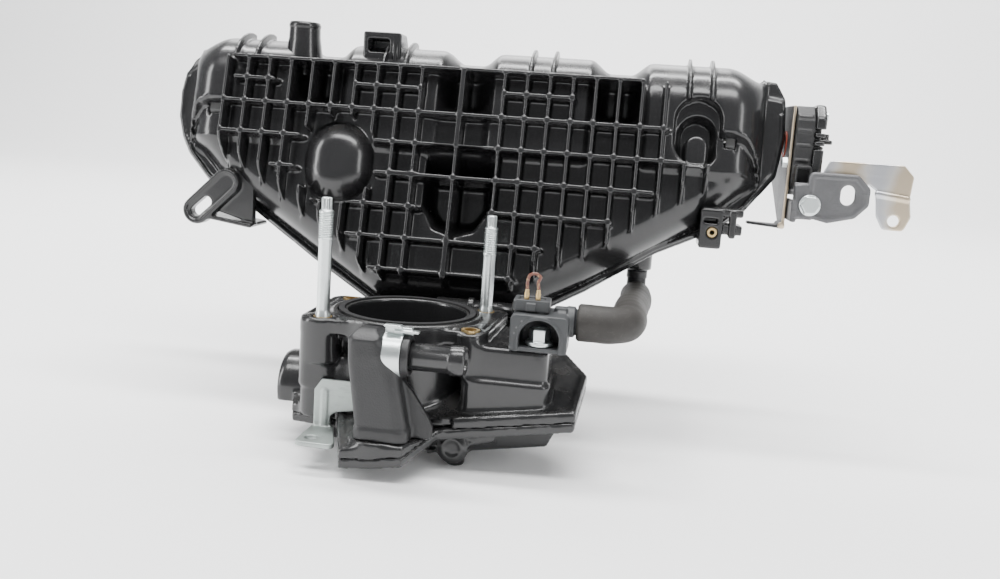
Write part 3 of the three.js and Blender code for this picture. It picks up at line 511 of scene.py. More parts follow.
def metal(name, colour, tint, rough, brushed=None, tarnish=0.5, depth=0.00012):
    """A metal with clouds of tint, drawn or plated grain, and small scratches."""
    finish = Finish(name, metal=1.0)
    place = finish.stretched(brushed) if brushed else finish.place
    grain = finish.noise(700, 5, 0.65, place)
    cloud = finish.noise(90, 4, 0.6, distortion=0.6)
    scratch = finish.ramp(finish.noise(420, 3, 0.5, finish.stretched((0.15, 1, 2), (0.3, 0.2, 0.9))),
                          [(0.6, 0), (0.66, 1)])
    edge = finish.worn_edges()
    base = finish.mixed(cloud * tarnish, shade(colour), shade(tint))
    base = finish.mixed(grain * 0.25, base, shade(colour, 0.6))
    base = finish.mixed(edge * 0.3, base, shade(colour, 1.15))
    return finish.done(base, rough + cloud * 0.14 + grain * 0.12 + scratch * 0.1,
                       grain * 1.0 + scratch * 0.5, 0.3, depth)


def heat_tinted_steel(colours):
    """Stainless strip with the straw and blue bands that heat leaves beside its bend."""
    finish = Finish("stay_steel", metal=1.0)
    lines = finish.noise(500, 4, 0.6, finish.stretched((0.08, 1, 4)))
    split = finish.node("ShaderNodeSeparateXYZ", {}, {0: finish.place})
    across = Value(finish, split.outputs["X"]) * 60 + finish.noise(70, 3) * 0.9
    wave = Value(finish, finish.node("ShaderNodeMath", {"operation": "SINE"}, {0: across * 3.1}).outputs[0])
    band = finish.ramp(wave * 0.5 + 0.5, [(0.35, 0), (0.9, 1)])
    blue = finish.ramp(wave * -0.5 + 0.5, [(0.6, 0), (0.95, 1)])
    base = finish.mixed(band * 0.6, shade(colours.steel), shade(colours.heat_straw))
    base = finish.mixed(blue * 0.35, base, shade(colours.heat_blue))
    return finish.done(base, 0.24 + lines * 0.22, lines, 0.35, 0.00012)


def make_materials(colours):
    MATERIALS.update({
        "gloss_nylon": gloss_nylon(colours),
        "matte_nylon": matte_nylon(colours),
        "grey_plastic": grey_plastic(colours),
        "hose_rubber": hose_rubber(colours),
        "seal_rubber": seal_rubber(colours),
        "red_rubber": seal_rubber(colours, "red_rubber", True),
        "zinc_plate": metal("zinc_plate", colours.zinc, colours.zinc_tint, 0.2),
        "dull_zinc": metal("dull_zinc", colours.dull_zinc, colours.zinc_tint, 0.4, None, 0.6, 0.0002),
        "stay_steel": heat_tinted_steel(colours),
        "brushed_steel": metal("brushed_steel", colours.steel, colours.steel, 0.26, (0.1, 1, 1.5), 0.2),
        # Dark steel: the side bracket's own dark coat, and painted shade on the actuator plate's face.
        "dark_steel": metal("dark_steel", colours.dark_steel, colours.nylon, 0.42, None, 0.4),
        "brass": metal("brass", colours.brass, colours.brass_tint, 0.24, None, 0.6),
        "wire_brown": wire_enamel(colours),
    })


def wire_enamel(colours):
    """Brown enamel on copper wire."""
    finish = Finish("wire_brown", coat=0.4)
    cloud = finish.noise(300, 4)
    rub = finish.ramp(finish.noise(700, 3), [(0.55, 0), (0.7, 1)])
    base = finish.mixed(cloud, shade(colours.wire, 0.7), shade(colours.wire, 1.4))
    base = finish.mixed(rub * 0.4, base, shade(colours.brass))
    return finish.done(base, 0.35 + cloud * 0.2, cloud, 0.2, 0.0001)


# ---- The ribbed front shell, in its leaning frame: x, w up the shell, h out of the shell ----
SHELL_CORNERS = ((50, -2), (86, 19), (128, 47), (164.5, 65), (181.5, 79), (198, 101), (202, 126),
                 (200.7, 152), (194.5, 162.5), (188, 162.5), (182, 156), (-180, 156), (-186, 157.5),
                 (-193, 153), (-198, 143), (-200, 130), (-199.2, 113), (-195, 99), (-188.4, 87),
                 (-173.5, 71), (-143, 56), (-94, 24), (-50, -2))
PLENUM_CORNERS = ((46, 2), (86, 24), (160, 70), (186, 94), (186, 130), (-186, 130), (-186, 96), (-166, 76),
                  (-92, 30), (-46, 2))
CROWN_CORNERS = (SHELL_CORNERS[:7] + ((200.7, 150), (189.5, 152), (189.5, 190), (-189.5, 190),
                                      (-189.5, 150)) + SHELL_CORNERS[14:])
POCKET_CORNERS = ((-23, 60), (-14, 44), (2, 39.5), (16, 44), (26, 60), (26, 92), (16, 98),
                  (-14, 98), (-23, 92))
RIB_FOOT_LINE = ((-200, 110), (-188.6, 87), (-173.5, 71), (-143, 56), (-94, 24), (-50, -2), (50, -2),
                 (86, 19), (128, 47), (164.5, 65), (181.5, 79), (202, 110))
RIB_SHOULDER_LINE = ((-152.9, 97.1), (-118, 77.2), (-89, 57.4), (-64, 37.5), (-48, 17.7), (-47, 2), (42, 2),
                     (43, 17.7), (58, 37.5), (99, 57.4), (122, 77.2), (152.9, 97.1))
RIB_ROWS = (
    (17.7, -48, 43), (37.55, -64, 58), (57.4, -89, 99), (77.25, -118, 122), (97.1, -153, 153),
    (116.95, -153, 132), (145.8, -150, 111), (132, -148, -120), (132, -68, -25.5), (132, 25.5, 70))
CROSSING_ROW = 77.25
LEDGE_LINE = ((150, 121.5), (158, 121.4), (168, 121.2), (176, 118.8), (184, 110), (186.6, 99), (190, 88))
DOME = ((-76, 80.5), (-76, 87.5), 22)
TUNNEL = ((146, 113), (146, 127), 14)
CROWN_TOP = 161
VALLEY, CROWN = 18, 32  # heights over the weld plane between two runners and over one
END_CURVE = (165, 23)  # where the crowns begin to close towards the ends, and over what length
PLENUM_TOP, PLENUM_ROLL = 29.5, 18  # height of the skin under the ribs, and the radius at its edge
DOME_FOOT, DOME_ROLL = 26.5, 16
LEDGE_DROP = 9
UPRIGHT_TOP = 145.8
DUCT_ROOM = ((103, -2), (161, -2), (161, 1), (158, 12.6), (149.6, 20.6), (138, 25.6),
             (114, 24.6), (103, 14.6))


def rib_columns(shape):
    """Where the upright ribs stand, from left to right."""
    first, pitch = shape.first_column / MM, shape.column_pitch / MM
    beside = [first + pitch * i for i in range(10)]
    return sorted([0.0] + beside + [-v for v in beside])


def crown_height(x):
    """Height of the runner crowns over the weld plane, high over a runner and low between two."""
    nearest = np.min([np.abs(x - centre) for centre in RUNNERS], axis=0)
    bump = np.where(np.abs(x) > RUNNERS[3], 1.0, smooth_step((42 - nearest) / 14))
    start, reach = END_CURVE
    closing = np.sqrt(np.clip(1 - (np.clip(np.abs(x) - start, 0, reach) / reach) ** 2, 0, 1))
    return np.maximum(4, (VALLEY + (CROWN - VALLEY) * bump) * closing), bump


def skin_height(x, w):
    """Height of the smooth skin that the ribs stand on."""
    inwards = np.clip(-polygon(x, w, PLENUM_CORNERS), 0, PLENUM_ROLL)
    plenum = PLENUM_TOP * np.sqrt(1 - (1 - inwards / PLENUM_ROLL) ** 2)
    crown, bump = crown_height(x)
    top = CROWN_TOP + 8 * bump - 9 * smooth_step((np.abs(x) - 163) / 26)
    over = np.clip((w - top + crown) / crown, 0, 1)
    rolled = crown * np.sqrt(1 - over**2) - 34 * smooth_step((98 - w) / 20) - 4 * np.clip(w - top, 0, None)
    height = -blend(-plenum, -rolled, 7)
    ledge = np.interp(np.abs(x), *zip(*LEDGE_LINE))
    lower = smooth_step((ledge - w) / 4.5) * smooth_step((np.abs(x) - 150) / 5)
    height = height - LEDGE_DROP * lower
    near_dome = slot_shape(x, w, *DOME)
    dome = np.clip(near_dome + DOME_ROLL, 0, DOME_ROLL)
    dome = DOME_FOOT + np.sqrt(np.clip(DOME_ROLL**2 - dome**2, 0, DOME_ROLL**2))
    dome = np.where(near_dome > 0, DOME_FOOT - 6 * near_dome, dome)
    return -blend(-height, -dome, 4)


def upright_rib(shell, x0, shape):
    """A rib up the shell, with a curved foot that ends in a point on the weld band."""
    x, w, h = shell
    tip = shape.rib_tip / MM
    foot = np.interp(x0, *zip(*RIB_FOOT_LINE)) + 11
    shoulder = max(foot + 6, np.interp(x0, *zip(*RIB_SHOULDER_LINE)) - 2)
    steps = [t / 6 for t in range(7)]
    curve = [(foot + (shoulder - foot) * t, 5 + (tip - 5) * (1 - (1 - t) ** 1.7)) for t in steps]
    outline = [(foot, 1), (UPRIGHT_TOP, 1), (UPRIGHT_TOP, tip)] + curve[::-1]
    half = shape.rib_thickness / MM / 2 - 0.1 + 0.012 * (tip - h)
    return both(np.abs(x - x0) - half, polygon(w, h, outline), 0.5)


def cross_rib(shell, row, shape):
    """A rib across the shell; row holds its height up the shell, its start and its end."""
    x, w, h = shell
    w0, start, end = row
    tip = shape.rib_tip / MM - 0.15
    half = shape.rib_thickness / MM / 2 - 0.1 + 0.012 * (tip - h)
    return slab(slab(np.abs(w - w0) - half, x, start, end, 0.5), h, 8, tip, 0.5)


def front_shell_field(axes, shape):
    xs, ws, hs = axes
    x, w, h = np.meshgrid(xs, ws, hs, indexing="ij", sparse=True)
    shell = (x, w, h)
    flat_x, flat_w = x[:, :, 0], w[:, :, 0]
    height = skin_height(flat_x, flat_w)
    slope_x, slope_w = np.gradient(height, xs, ws)
    steep = np.sqrt(1 + slope_x**2 + slope_w**2)
    body = (h - height[:, :, None]) / steep[:, :, None]
    edge = polygon(flat_x, flat_w, SHELL_CORNERS)[:, :, None]
    body = np.maximum(body, polygon(flat_x, flat_w, CROWN_CORNERS)[:, :, None] + 2.4)
    band = slab(edge, h, -2, 4, 0.8)
    rail_side = np.where(w < 141, 0, 6)
    rail = slab(np.abs(edge + 2.3) - 1.1, h, 0, 6.4, 0.9) + rail_side
    groove = np.abs(edge + 0.2) - 0.5
    field = blend(blend(body, band, 5), rail, 1.2)
    field = cut(field, slab(groove, h, 1.6, 2.4), 0.3)

    dome_room = slot_shape(flat_x, flat_w, DOME[0], DOME[1], DOME[2] + 3)[:, :, None]
    pocket_edge = polygon(flat_x, flat_w, POCKET_CORNERS)[:, :, None]
    tunnel_room = slot_shape(flat_x, flat_w, (146, 113), (146, 156), 17)[:, :, None]
    rooms = np.minimum(dome_room, tunnel_room)
    crossing = []
    for x0 in rib_columns(shape):
        near = slice(*np.searchsorted(xs, (x0 - 8, x0 + 8)))
        part = (x[near], w, h)
        rib = upright_rib(part, x0, shape)
        if x0 == 0:
            crossing.append((near, slice(None), rib))
        rib = cut(rib, np.minimum(rooms, pocket_edge + 3)[near], 2.5)
        field[near] = blend(field[near], rib, 1.8)
    for row in RIB_ROWS:
        near = slice(*np.searchsorted(ws, (row[0] - 8, row[0] + 8)))
        part = (x, w[:, near], h)
        rib = cross_rib(part, row, shape)
        if row[0] == CROSSING_ROW:
            crossing.append((slice(None), near, slab(rib, x, -40, 40)))
        rib = cut(rib, np.minimum(rooms, pocket_edge + 3)[:, near], 2.5)
        field[:, near] = blend(field[:, near], rib, 1.8)

    draft = np.interp(h, [0, 13, 30, 60], [9, 7, 3, 0])
    floor = 12 + 19 * smooth_step((w - 70) / 30) ** 1.4 + 14 * smooth_step((56 - w) / 22)
    field = cut(field, both(pocket_edge + draft, floor - h, 4), 2.5)
    floor_tunnel = 23 - 10 * smooth_step(
        (2 - slot_shape(flat_x, flat_w, (146, 108), (146, 120), 10))[:, :, None] / 3)
    tunnel = both(slot_shape(flat_x, flat_w, *TUNNEL)[:, :, None], floor_tunnel - h, 1.5)
    field = cut(field, tunnel, 2.0)
    spindle_end = slab(slot_shape(flat_x, flat_w, (146, 104), (146, 112), 7)[:, :, None], h, 8, 27, 3)
    field = blend(field, spindle_end, 0.8)
    for near_x, near_w, rib in crossing:
        field[near_x, near_w] = blend(field[near_x, near_w], rib, 1.8)

    over_crown = np.hypot(w - (CROWN_TOP + 8 - CROWN), h)
    for x0 in (40.1, 54.2, 138.8, 152.9):
        for side in (-1, 1):
            near = slice(*np.searchsorted(xs, (side * x0 - 6, side * x0 + 6)))
            crest = both(np.abs(x[near] - side * x0) - 1.0, both(over_crown - CROWN - 4.2, 139 - w, 1), 0.6)
            crest = np.maximum(crest, 3 - h)
            field[near] = blend(field[near], crest, 1.5)
    duct = polygon(w, h, DUCT_ROOM)
    kept = np.minimum(both(slot_shape(flat_x, flat_w, TUNNEL[0], TUNNEL[1], 17)[:, :, None], 9.5 - h),
                      both(pocket_edge, 9.5 - h))
    for centre in RUNNERS:
        room = np.maximum(np.maximum(duct, np.abs(x - centre) - 25.8), -kept)
        field = np.maximum(field, -room)
    return np.maximum(field, HALF_GAP - h)


def make_front_shell(shape):
    detail = shape.detail / MM
    rib_lines = (-3.0, -1.9, -1.35, -0.7, 0, 0.7, 1.35, 1.9, 3.0)
    axes = [
        grid_lines(-203, 204, detail, rib_columns(shape), rib_lines),
        grid_lines(-5, 176, detail, [row[0] for row in RIB_ROWS[:8]], rib_lines),
        np.array([-0.9, -0.1, 0.4, 1.2, 1.9, 2.5, 3.2, 3.8, 4.4, 5.0, 5.7, 6.3, 7.0, 8.0]
                 + list(np.arange(9.4, 41, 1.4)) + [41.4, 42.2, 42.8, 43.4, 44.4]),
    ]
    points, faces = surface_of(front_shell_field(axes, shape), axes)
    return piece_from("front_shell_skin", upright(points), faces, "gloss_nylon", "front_shell")


def make_shell_fittings():

    def nozzle(x, y, z):
        reach = np.hypot(x + 112.5, y + 66)
        wall = reach - np.interp(z, [19, 28, 44, 54.2], [12.8, 12.5, 10.3, 9.8])
        shape = slab(wall, z, 19.5, 54.1, 1.0)
        lip = slab(reach - 10.3, z, 50.6, 52.6, 0.8)
        return cut(blend(shape, lip, 0.8), np.maximum(reach - 7, 30 - z), 1.2)

    moulded("top_nozzle", nozzle, (-126, -80, 19), (-99, -52, 54.3), 0.6, "gloss_nylon")

    def side_lug(x, y, z):
        loop = slot_shape(x, z, (-150, -52), (-170, -71.5), 8.6)
        hole = slot_shape(x, z, (-163.5, -65.5), (-170.5, -72), 3.4)
        plate = slab(loop, y, -101, -93, 1.5)
        web = slab(polygon(x, z, [(-163, -70), (-133, -78), (-133, -46), (-146, -42)]), y, -97, -91, 1)
        rim = slab(np.abs(slot_shape(x, z, (-150, -52), (-170, -71.5), 7.4)) - 1.2, y, -102.4, -93, 1)
        shelf = slab(slot_shape(x, z, (-164, -75), (-134, -79), 1.4), y, -101, -72, 1)
        return cut(joined([plate, web, rim, shelf], 1.5), np.maximum(hole, between(y, -120, -80)), 1)

    moulded("side_lug", side_lug, (-180, -103, -84), (-131, -71, -40), 0.7, "gloss_nylon")

    def bridge(x, y, z):
        block = slab(polygon(y, z, [(-77, 29), (-54, 29), (-54, 43), (-60, 50), (-77, 50)]), x, -70, -45, 2)
        window = slab(oblong(x, z, (-66.5, 37.5), (-52.5, 45.5), 1.5), y, -90, -63)
        dish = disc(x, y, (-57, -71), 2.4)
        rib = both(np.abs(x + 48.5) - 1.1, polygon(y, z, [(-79, 28), (-70, 28), (-70, 46), (-77, 46)]), 0.5)
        return cut(cut(blend(block, rib, 1), window, 1), np.maximum(dish, 41 - z), 0.8)

    moulded("bridge_lug", bridge, (-71, -80, 27), (-44, -53, 51), 0.5, "gloss_nylon")

    def clip(x, y, z):
        block = slab(oblong(x, z, (152.5, -69), (166, -45), 1.5), y, -98, -76, 1)
        arm = slab(oblong(x, z, (164, -60), (178, -54), 1), y, -96, -78, 1)
        top = slab(oblong(x, z, (152.5, -49), (178, -44.2), 1.5), y, -97, -84, 1)
        hook = slab(oblong(x, z, (170, -62), (174, -45), 1.2), y, -98, -90, 1)
        hole = disc(x, z, (160, -59), 3.2)
        notch = slab(oblong(x, z, (154.5, -53.5), (163, -50.5), 1), y, -100, -90)
        return cut(cut(joined([block, arm, top, hook], 1),
                       np.maximum(hole, between(y, -110, -86)), 0.8), notch)

    moulded("clip_block", clip, (151, -99, -70), (179, -75, -43), 0.5, "gloss_nylon")


# ---- The rear shell and the head flange ----
REAR_CORNERS = ((50, -2), (86, 19), (164.5, 65), (196, 100), (196, 158), (-194, 158), (-194, 100),
                (-173.5, 71), (-94, 24), (-50, -2))
BELLY_CORNERS = ((46, 2), (86, 22), (158, 66), (158, 112), (-158, 112), (-158, 66), (-90, 28), (-46, 2))
DUCT_OUTLINE = ((-61, -7.6), (-38.3, -21), (-38.3, 21), (-43, 31), (-47.5, 38.3), (-56, 25))


def make_back(shape):
    sine, cosine = math.sin(LEAN), math.cos(LEAN)
    columns = rib_columns(shape)[1:-1]

    def rear(x, y, z):
        w = (y - SHELL_FOOT[1]) * sine + (z - SHELL_FOOT[2]) * cosine
        h = -(y - SHELL_FOOT[1]) * cosine + (z - SHELL_FOOT[2]) * sine
        edge = polygon(x, w, SHELL_CORNERS)
        band = both(edge, h + HALF_GAP, 0.6)
        band = both(band, -4 - h, 0.8)
        taper = np.interp(-h, [0, 10, 20, 24], [6, 8, 12, 20])
        upper = both(polygon(x, w, REAR_CORNERS) + taper, -24 - h, 4)
        deep = polygon(x, w, BELLY_CORNERS) + np.interp(-h, [0, 30, 44, 50], [4, 6, 11, 19])
        belly = both(deep, -49.5 - h, 5)
        field = both(blend(upper, belly, 6), h + HALF_GAP, 0.3)
        field = blend(field, band, 3)
        for centre in RUNNERS:
            duct = both(polygon(y, z, DUCT_OUTLINE), np.abs(x - centre) - 30, 2)
            field = blend(field, both(duct, h + HALF_GAP), 3)
        fins = np.inf
        for x0 in columns:
            fins = np.minimum(fins, np.abs(x - x0) - 1.1)
        low_edge = np.interp(x, *zip(*RIB_FOOT_LINE)) + 7
        fins = both(fins, both(both(low_edge - w, w - 111, 1), -47.5 - h, 1), 0.5)
        rows = np.inf
        for w0 in (37.55, 57.4, 77.25, 97.1):
            rows = np.minimum(rows, np.abs(w - w0) - 1.1)
        rows = both(rows, both(edge + 14, -47.5 - h, 1), 0.5)
        trellis = both(both(np.minimum(fins, rows), deep - 2.5, 1), h + 2)
        field = blend(field, trellis, 1.5)
        boss = slab(disc(x, y, HOSE_BOSS, 9), z, -91, -75, 1)
        field = cut(blend(field, boss, 2), np.maximum(disc(x, y, HOSE_BOSS, 5), z + 65), 0.6)
        for centre in RUNNERS:
            bore = slab(oblong(x, z, (centre - 26, -17), (centre + 26, 17), 9), y, -66, -30)
            field = cut(field, bore, 0.8)
        saddle = slab(np.abs(x) - 62, y, -12, 10)
        saddle = np.maximum(saddle, z + 44)
        field = np.maximum(field, -saddle)
        return np.maximum(field, y + 38.3)

    moulded("rear_shell_skin", rear, (-201, -92, -124), (203, -37, 40), shape.detail / MM * 1.1,
            "gloss_nylon", "rear_shell")


def make_head_flange():
    bolts = ((-184, 16), (-96, -21), (0, 21), (96, -21), (184, 16))

    def flange(x, y, z):
        field = slab(oblong(x, z, (-178, -24), (178, 24), 10), y, -12, -0.5, 1)
        for bolt in bolts:
            field = blend(field, slab(disc(x, z, bolt, 11), y, -12, -0.5, 1), 3)
        relief = np.inf
        for centre in RUNNERS:
            stub = slab(oblong(x, z, (centre - 30, -21), (centre + 30, 21), 9), y, -38, -5, 0.8)
            field = blend(field, stub, 3)
        spine = slab(disc(y, z, SHAFT_AXIS, 8.5), x, -188, 196, 1.5)
        field = blend(field, spine, 2.5)
        for x0 in (-96, 0, 96):
            for side in (-13, 13):
                fin = slab(np.abs(x - x0 - side) - 1.2, y, -30, -10, 0.5)
                relief = np.minimum(relief, both(fin, np.abs(z) - 20, 1))
        field = blend(field, relief, 2)
        for centre in RUNNERS:
            port = oblong(x, z, (centre - 26, -17), (centre + 26, 17), 9)
            field = cut(field, np.maximum(port, y - 5), 0.9)
            field = cut(field, slab(np.abs(port - 3.5) - 1.9, y, -2.6, 4), 0.3)
        for bolt in bolts:
            field = cut(field, np.maximum(disc(x, z, bolt, 5.8), between(y, -15, 3)), 0.6)
        shaft = np.maximum(disc(y, z, SHAFT_AXIS, 4.5), between(x, -184, 210))
        seats = np.minimum(between(x, -184, -176), between(x, 188, 200))
        return np.maximum(np.maximum(field, -shaft), -np.maximum(disc(y, z, SHAFT_AXIS, 6.3), seats))

    moulded("head_flange", flange, (-196, -38, -32.5), (197, 0, 32.5), 0.9, "matte_nylon", "port_flange")


# ---- Lower chamber ----
THROTTLE = (-9.5, -175)
TOP = -110.8
STUDS = ((-50, -202.3), (31, -147.7))
INSERTS = ((-50, -147.7), (31, -202.3))
RIM_CORNERS = ((-26, -242.7), (6, -242.7), (20, -220), (90, -216), (93.5, -180), (64, -128), (-60, -128),
               (-76, -152), (-66, -200), (-38, -208))
BASE_CORNERS = ((20, -213), (84, -209), (88, -180), (60, -134), (-56, -134), (-70, -154),
                (-60, -196), (-30, -202))
BOX_CORNERS = ((35, -205), (69, -205), (69, -179), (53, -157), (35, -157))
SOCKET = (-10, -230)
NIPPLE_AXIS = (-230, -121)  # y and z
VALVE_BOLT = (68, -205)
VALVE_PORT = (-196, -102.5)  # y and z
HOSE_BOSS = (118, -60)
STAY_BOLT = (215.6, -38)  # x and z
DRAIN = (26, -175)  # x and z
RIM_DEPTH, BEAD_DEPTH = 4.5, 5.4


def rim_height(x, y):
    """Height of the sloping plane where the chamber meets its base."""
    return -153.5 + 0.132 * (x - 75) + 0.306 * (y + 216)


def make_chamber(shape):
    step = shape.detail / MM * 0.8

    def chamber(x, y, z):
        rise = z - rim_height(x, y)
        plate_side = polygon(x, y, [(-54, -201), (-10, -203), (33, -199), (36, -148), (-54, -148)], 8)
        plate = slab(plate_side, z, TOP - 8, TOP, 1.2)
        plate = cut(plate, both(np.abs(plate_side + 3.4) - 0.7, TOP - 1 - z), 0.4)
        collar = slab(disc(x, y, THROTTLE, 42), z, TOP - 12, TOP + 2, 1.5)
        duct = slab(disc(x, y, THROTTLE, 37), z, -169, TOP - 5)
        column = slab(oblong(x, y, (-62, -209), (-42, -172), 7), z, -149, TOP - 2, 2)
        shoulder_in = np.interp(z, [-167, -153, -143, -133], [0, 0, 3, 5])
        shoulder = slab(oblong(x, y, (-62, -208), (-20, -150), 9) + shoulder_in, z, -167, -133, 3)
        round_end = slab(disc(y, z, (-172, -158), 19), x, -78, -30, 2.5)
        hub = slab(ring(y, z, (-172, -158), 18, 15.5), x, -79.3, -70, 0.8)
        box_in = np.interp(z, [-163, -136, -134, -117], [0, 0, 1.8, 2.6])
        box = slab(polygon(x, y, BOX_CORNERS, 7) + box_in, z, -163, -117.6, 1.6)
        outlet = both(polygon(y, z, [(-127.3, -129.5), (-99.6, -155.3), (-57, -166.7), (-46.3, -124.6),
                                     (-88, -113.4), (-90.3, -125), (-97, -125.5), (-99, -119.2),
                                     (-127.3, -119.2)]), np.abs(x) - 58, 2.5)
        bridge = slab(slab(between(x, -58, 8), y, -142, -126, 1), z, -128, -119.2, 1)
        rim_side = polygon(x, y, RIM_CORNERS)
        rim = both(rim_side, np.maximum(rise - RIM_DEPTH, HALF_GAP - rise), 1.2)
        bead = both(np.abs(rim_side + 1.6) - 0.9, np.maximum(rise - BEAD_DEPTH, HALF_GAP - rise), 0.8)
        ribs = np.inf
        for x0 in (-22, 0, 22):
            ribs = np.minimum(ribs, np.abs(x - x0) - 1.1)
        ribs = both(ribs, slab(between(y, -147, -128), z, -140, TOP - 6, 1), 0.6)
        socket = slab(disc(x, y, SOCKET, 14.5), z, -177, -164.2, 1.5)
        body = joined([duct, column, shoulder, box], 5)
        body = joined([body, round_end], 3)
        for point in STUDS + INSERTS:
            body = blend(body, slab(disc(x, y, point, 8.5), z, TOP - 24, TOP - 1), 4)
        body = joined([body, collar, plate], 1.6)
        body = joined([body, ribs, socket, hub], 1.5)
        body = joined([body, rim, bead], 3)
        body = np.where(y < -127.6, np.maximum(body, HALF_GAP - rise), body)
        elbow_room = slab(between(x, -27, 27), y, -250, -217, 0.5)
        body = cut(body, np.maximum(elbow_room, -164.2 - z), 0.6)
        saddle = slab(slab(between(x, 24, 34), y, -127.2, -122, 1), z, -121, -117.6, 1)
        field = joined([body, outlet, bridge, saddle], 2)
        bore = disc(x, y, THROTTLE, 33)
        field = cut(field, np.maximum(bore, -175 - z), 1.5)
        field = cut(field, both(ring(x, y, THROTTLE, 38.8, 34.8), TOP - 0.6 - z), 0.3)
        window = both(polygon(y, z, [(-150, -127.5), (-124, -127.5), (-98, -152.5), (-62, -161),
                                     (-52, -118), (-87, -107), (-87, -125), (-124, -123)]), np.abs(x) - 54)
        field = cut(field, both(window, y + 52), 1)
        well = slab(rim_side + 16, z, -190, -160, 1)
        field = cut(field, np.maximum(well, np.maximum(-(y + 200), between(x, -50, 60))), 1)
        for point in STUDS + INSERTS:
            field = cut(field, np.maximum(disc(x, y, point, 5.3), TOP - 20 - z), 0.5)
        field = cut(field, np.maximum(disc(x, y, VALVE_BOLT, 3.2), -125 - z), 0.3)
        return cut(field, np.maximum(disc(x, y, SOCKET, 10.6), -185 - z), 0.8)

    moulded("throttle_chamber_skin", chamber, (-80, -245, -179), (95, -45.5, -108.5), step, "gloss_nylon",
            "throttle_chamber")

    def base(x, y, z):
        rise = z - rim_height(x, y)
        rim_side = polygon(x, y, RIM_CORNERS)
        rim = both(rim_side, np.maximum(rise + HALF_GAP, -RIM_DEPTH - rise), 1.2)
        bead = both(np.abs(rim_side + 1.6) - 0.9, np.maximum(rise + HALF_GAP, -BEAD_DEPTH - rise), 0.8)
        floor = np.maximum(-184, rim_height(x, y) - 24)
        depth = np.clip((rise + 8) / -16, 0, 1)
        pan = both(polygon(x, y, BASE_CORNERS) + 3 + 7 * depth, np.maximum(floor - z, rise + 2), 3)
        barrel = slab(disc(x, z, DRAIN, 8.5), y, -209, -190, 1)
        face = slab(ring(x, z, DRAIN, 6.2, 4.2), y, -210, -200, 0.5)
        spout = slab(disc(x, y, (27, -201), 5), z, -185.9, -173, 0.8)
        wings = both(np.abs(z + 175 - 0.3 * (x - 26)) - 1.2, slab(between(x, 12, 48), y, -207, -194), 1)
        lip = slab(disc(x, y, SOCKET, 13), z, -177.8, -167, 2.5)
        body = joined([rim, bead, pan], 2.5)
        body = joined([body, barrel, lip, wings], 2)
        body = joined([body, face, spout], 0.8)
        hollow = both(polygon(x, y, BASE_CORNERS) + 7, floor + 3 - z, 2)
        body = cut(body, np.maximum(hollow, -rise - 14), 1)
        body = cut(body, np.maximum(disc(x, y, (27, -201), 2.2), z + 176), 0.4)
        body = cut(body, np.maximum(disc(x, y, SOCKET, 10.6), -176 - z), 0.5)
        return np.maximum(body, rise + HALF_GAP)

    moulded("chamber_base_skin", base, (-77, -244, -187), (95, -127, -120), step, "gloss_nylon",
            "chamber_base")


def thread_ripple(pitch, depth, low, high):
    """A screw thread between two heights."""
    def ripple(radius, height, angles):
        turn = (height / pitch - angles / (2 * math.pi)) % 1
        cutting = depth * np.abs(2 * turn - 1)
        return -cutting if low <= height <= high and radius > depth * 3 else 0 * angles
    return ripple


def make_studs():
    for number, (x, y) in enumerate(STUDS, 1):
        drop = 8 * (number - 1)
        low, high = TOP + 42.5 - drop, TOP + 56.5 - drop
        thread = [(4.0, h) for h in np.arange(low, high, 0.125)]
        head = [(4.0, high), (3.5, high + 0.7), (3.0, high + 1.1)]
        tip = [(2.9, high + 1.5), (2.9, high + 6.9), (2.5, high + 7.5), (0.01, high + 7.5)]
        profile = [(0.01, TOP - 17.5), (3.4, TOP - 17.5), (4.0, TOP - 16.8), (4.0, TOP + 1.4),
                   (3.62, TOP + 2.2), (3.55, TOP + 4), (3.55, low - 2.5), (3.7, low - 1.3),
                   (4.0, low - 0.3)] + thread + head + tip
        screw = thread_ripple(1.25, 0.62, low, high - 0.2)

        def lobes(radius, height, angles, screw=screw, end=high + 1.3):
            if height > end and radius > 1:
                return 0.28 * np.cos(6 * angles) - 0.2
            return screw(radius, height, angles)

        turned(f"stud_{number}", profile, (x, y, 0), "z", "zinc_plate",
               f"throttle_stud_{number}", 60, lobes)


